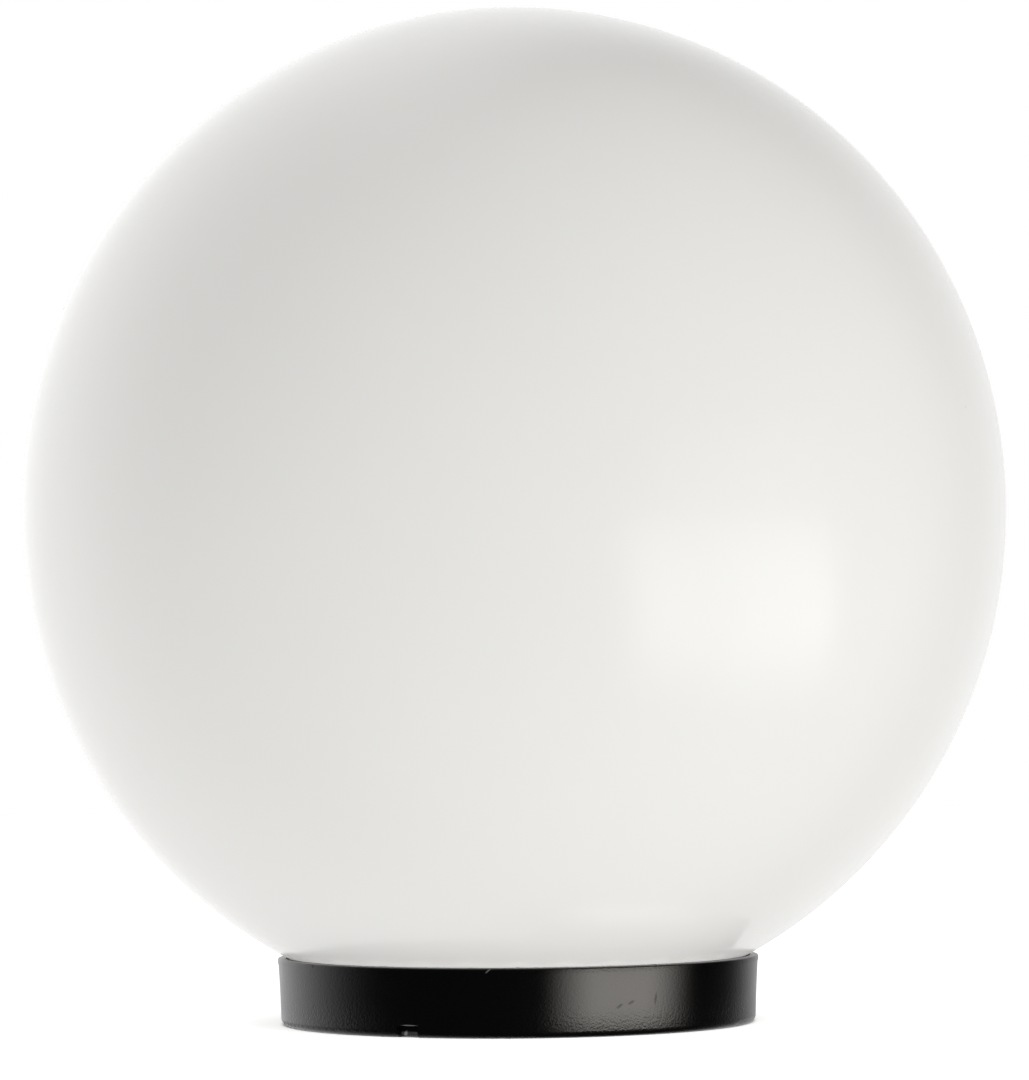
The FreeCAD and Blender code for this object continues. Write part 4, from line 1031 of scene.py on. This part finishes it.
class GLOBELIGHT_OT_studio(bpy.types.Operator):
    """Set up the light table, the white room, the lights and the camera"""

    bl_idname = "globe_light.studio"
    bl_label = "Studio"

    def execute(self, context):
        scene = context.scene
        settings = scene.globe_light_studio
        half = TABLE_HALF
        table = stage_mesh(
            "light_table",
            [(-half, -half, 0), (half, -half, 0), (half, half, 0), (-half, half, 0)],
            [(0, 1, 2, 3)],
            table_top(settings.table),
        )
        table.visible_glossy = False
        self.room(scene, settings)
        self.softbox(scene, settings)
        self.softbox_reflection()
        self.strip_reflection()
        self.wall_light()
        self.camera(scene, settings)
        scene.view_settings.view_transform = "Standard"
        return {"FINISHED"}

    def room(self, scene, settings):
        """White all round, above and below, with a dark room in gloss where the camera stands."""
        world = bpy.data.worlds.new("white_room")
        world.use_nodes = True
        tree = world.node_tree
        tree.nodes.clear()
        rays = add(tree, "ShaderNodeLightPath")
        plain = add(
            tree, "ShaderNodeMix", {"Factor": seen_straight(tree), "A": settings.fill, "B": 1.0}
        )
        strength = add(
            tree,
            "ShaderNodeMix",
            {"Factor": rays.outputs["Is Glossy Ray"], "A": plain, "B": room_in_gloss(tree)},
        )
        white = add(tree, "ShaderNodeBackground", {"Color": WHITE, "Strength": strength})
        add(tree, "ShaderNodeOutputWorld", {"Surface": white})
        scene.world = world

    def softbox(self, scene, settings):
        """One wide softbox, low at the right, that lights but doesn't mirror."""
        lamp = bpy.data.lights.new("softbox", "AREA")
        lamp.shape = "RECTANGLE"
        lamp.size = SOFTBOX_WIDE
        lamp.size_y = SOFTBOX_TALL
        lamp.energy = settings.key
        holder = bpy.data.objects.new("softbox", lamp)
        scene.collection.objects.link(holder)
        holder.location = SOFTBOX_PLACE
        aim = SOFTBOX_AIM - SOFTBOX_PLACE
        holder.rotation_euler = aim.to_track_quat("-Z", "Y").to_euler()
        holder.visible_glossy = False

    def softbox_reflection(self):
        """What the globe mirrors of the softbox, as a card that shows in gloss alone."""
        glow = stage_mesh(
            "reflected_softbox", SOFTBOX_CARD, [(0, 1, 2, 3)], softbox_front(SOFTBOX_GLOSS)
        )
        spread = glow.data.uv_layers.new(name="front")
        for corner, at in zip(spread.data, [(0, 0), (1, 0), (1, 1), (0, 1)]):
            corner.uv = at
        # A screen at the right keeps the softbox out of the globe's edge as seen from behind.
        turn = math.radians(SCREEN_TURN)
        across = Vector((math.sin(turn), -math.cos(turn), 0))
        foot = [across * SCREEN_NEAR, across * SCREEN_FAR]
        corners = foot + [spot + Vector((0, 0, SCREEN_TOP)) for spot in reversed(foot)]
        screen = stage_mesh("softbox_screen", corners, [(3, 2, 1, 0)], one_way_black("screen_cloth"))
        for item in (glow, screen):
            only_in_reflections(item)

    def strip_reflection(self):
        """What the base mirrors of a strip light: a curved strip, in a black case open to the base."""
        wall, faces = curved_wall(STRIP_RADIUS, STRIP_FOOT, STRIP_TOP, *STRIP_TURNS)
        strip = stage_mesh("reflected_strip", wall, faces, strip_front(STRIP_GLOSS))
        case_wall, case_faces = curved_wall(CASE_RADIUS, STRIP_FOOT, STRIP_TOP, *CASE_TURNS)
        lid_corners, lid_faces = curved_ring(LID_RADIUS, CASE_RADIUS, STRIP_TOP, *CASE_TURNS)
        count = len(case_wall)
        lid_faces = [tuple(count + corner for corner in face) for face in lid_faces]
        case = stage_mesh(
            "strip_case",
            case_wall + lid_corners,
            case_faces + lid_faces,
            plain_glow("black_cloth", 0.0),
        )
        for item in (strip, case):
            only_in_reflections(item)

    def wall_light(self):
        """A ring of light on the rim, for what the opal wall itself passes down to the globe's foot."""
        outer, inner = HOUSING_RADIUS - RING_START, HOUSING_RADIUS - RING_END
        corners, faces = curved_ring(outer, inner, HOUSING_HIGH.z + RING_LIFT, 0, 360)
        ring = stage_mesh("light_on_the_rim", corners, faces, plain_glow("wall_light", RING_GLOW))
        ring.visible_camera = False
        ring.visible_glossy = False
        ring.visible_shadow = False

    def camera(self, scene, settings):
        """Straight in front, low and looking up a little, as the photograph was taken."""
        data = bpy.data.cameras.new("camera")
        data.sensor_width = 36
        data.lens = settings.lens
        data.clip_end = 50
        eye = bpy.data.objects.new("camera", data)
        scene.collection.objects.link(eye)
        eye.matrix_world = (
            Matrix.Translation((0, -settings.distance, settings.height))
            @ Matrix.Rotation(math.pi / 2 + settings.tilt, 4, "X")
            @ Matrix.Rotation(-settings.roll, 4, "Z")
        )
        scene.camera = eye


OPERATORS = (
    GLOBELIGHT_OT_globe,
    GLOBELIGHT_OT_base,
    GLOBELIGHT_OT_lampholder,
    GLOBELIGHT_OT_wiring,
    GLOBELIGHT_OT_bulb,
    GLOBELIGHT_OT_studio,
)


class GLOBELIGHT_PT_sidebar(bpy.types.Panel):
    """The globe light's settings and steps"""

    bl_label = "Globe Light"
    bl_idname = "GLOBELIGHT_PT_sidebar"
    bl_space_type = "VIEW_3D"
    bl_region_type = "UI"
    bl_category = "Globe Light"

    def draw(self, context):
        for name in SETTINGS:
            group = getattr(context.scene, name)
            box = self.layout.box()
            for prop in group.bl_rna.properties:
                if prop.identifier not in ("rna_type", "name"):
                    box.prop(group, prop.identifier)
        for operator in OPERATORS:
            self.layout.operator(operator.bl_idname)


def register():
    """Registers the settings, the operators and the panel."""
    for group in SETTINGS.values():
        bpy.utils.register_class(group)
    for name, group in SETTINGS.items():
        setattr(bpy.types.Scene, name, bpy.props.PointerProperty(type=group))
    for operator in OPERATORS:
        bpy.utils.register_class(operator)
    bpy.utils.register_class(GLOBELIGHT_PT_sidebar)


def unregister():
    """Takes the panel, the operators and the settings out again."""
    bpy.utils.unregister_class(GLOBELIGHT_PT_sidebar)
    for operator in reversed(OPERATORS):
        bpy.utils.unregister_class(operator)
    for name, group in SETTINGS.items():
        delattr(bpy.types.Scene, name)
        bpy.utils.unregister_class(group)


def main():
    """Builds the whole light and its studio."""
    register()
    bpy.ops.globe_light.globe()
    bpy.ops.globe_light.base()
    bpy.ops.globe_light.lampholder()
    bpy.ops.globe_light.wiring()
    bpy.ops.globe_light.bulb()
    bpy.ops.globe_light.studio()


if __name__ == "__main__":
    main()
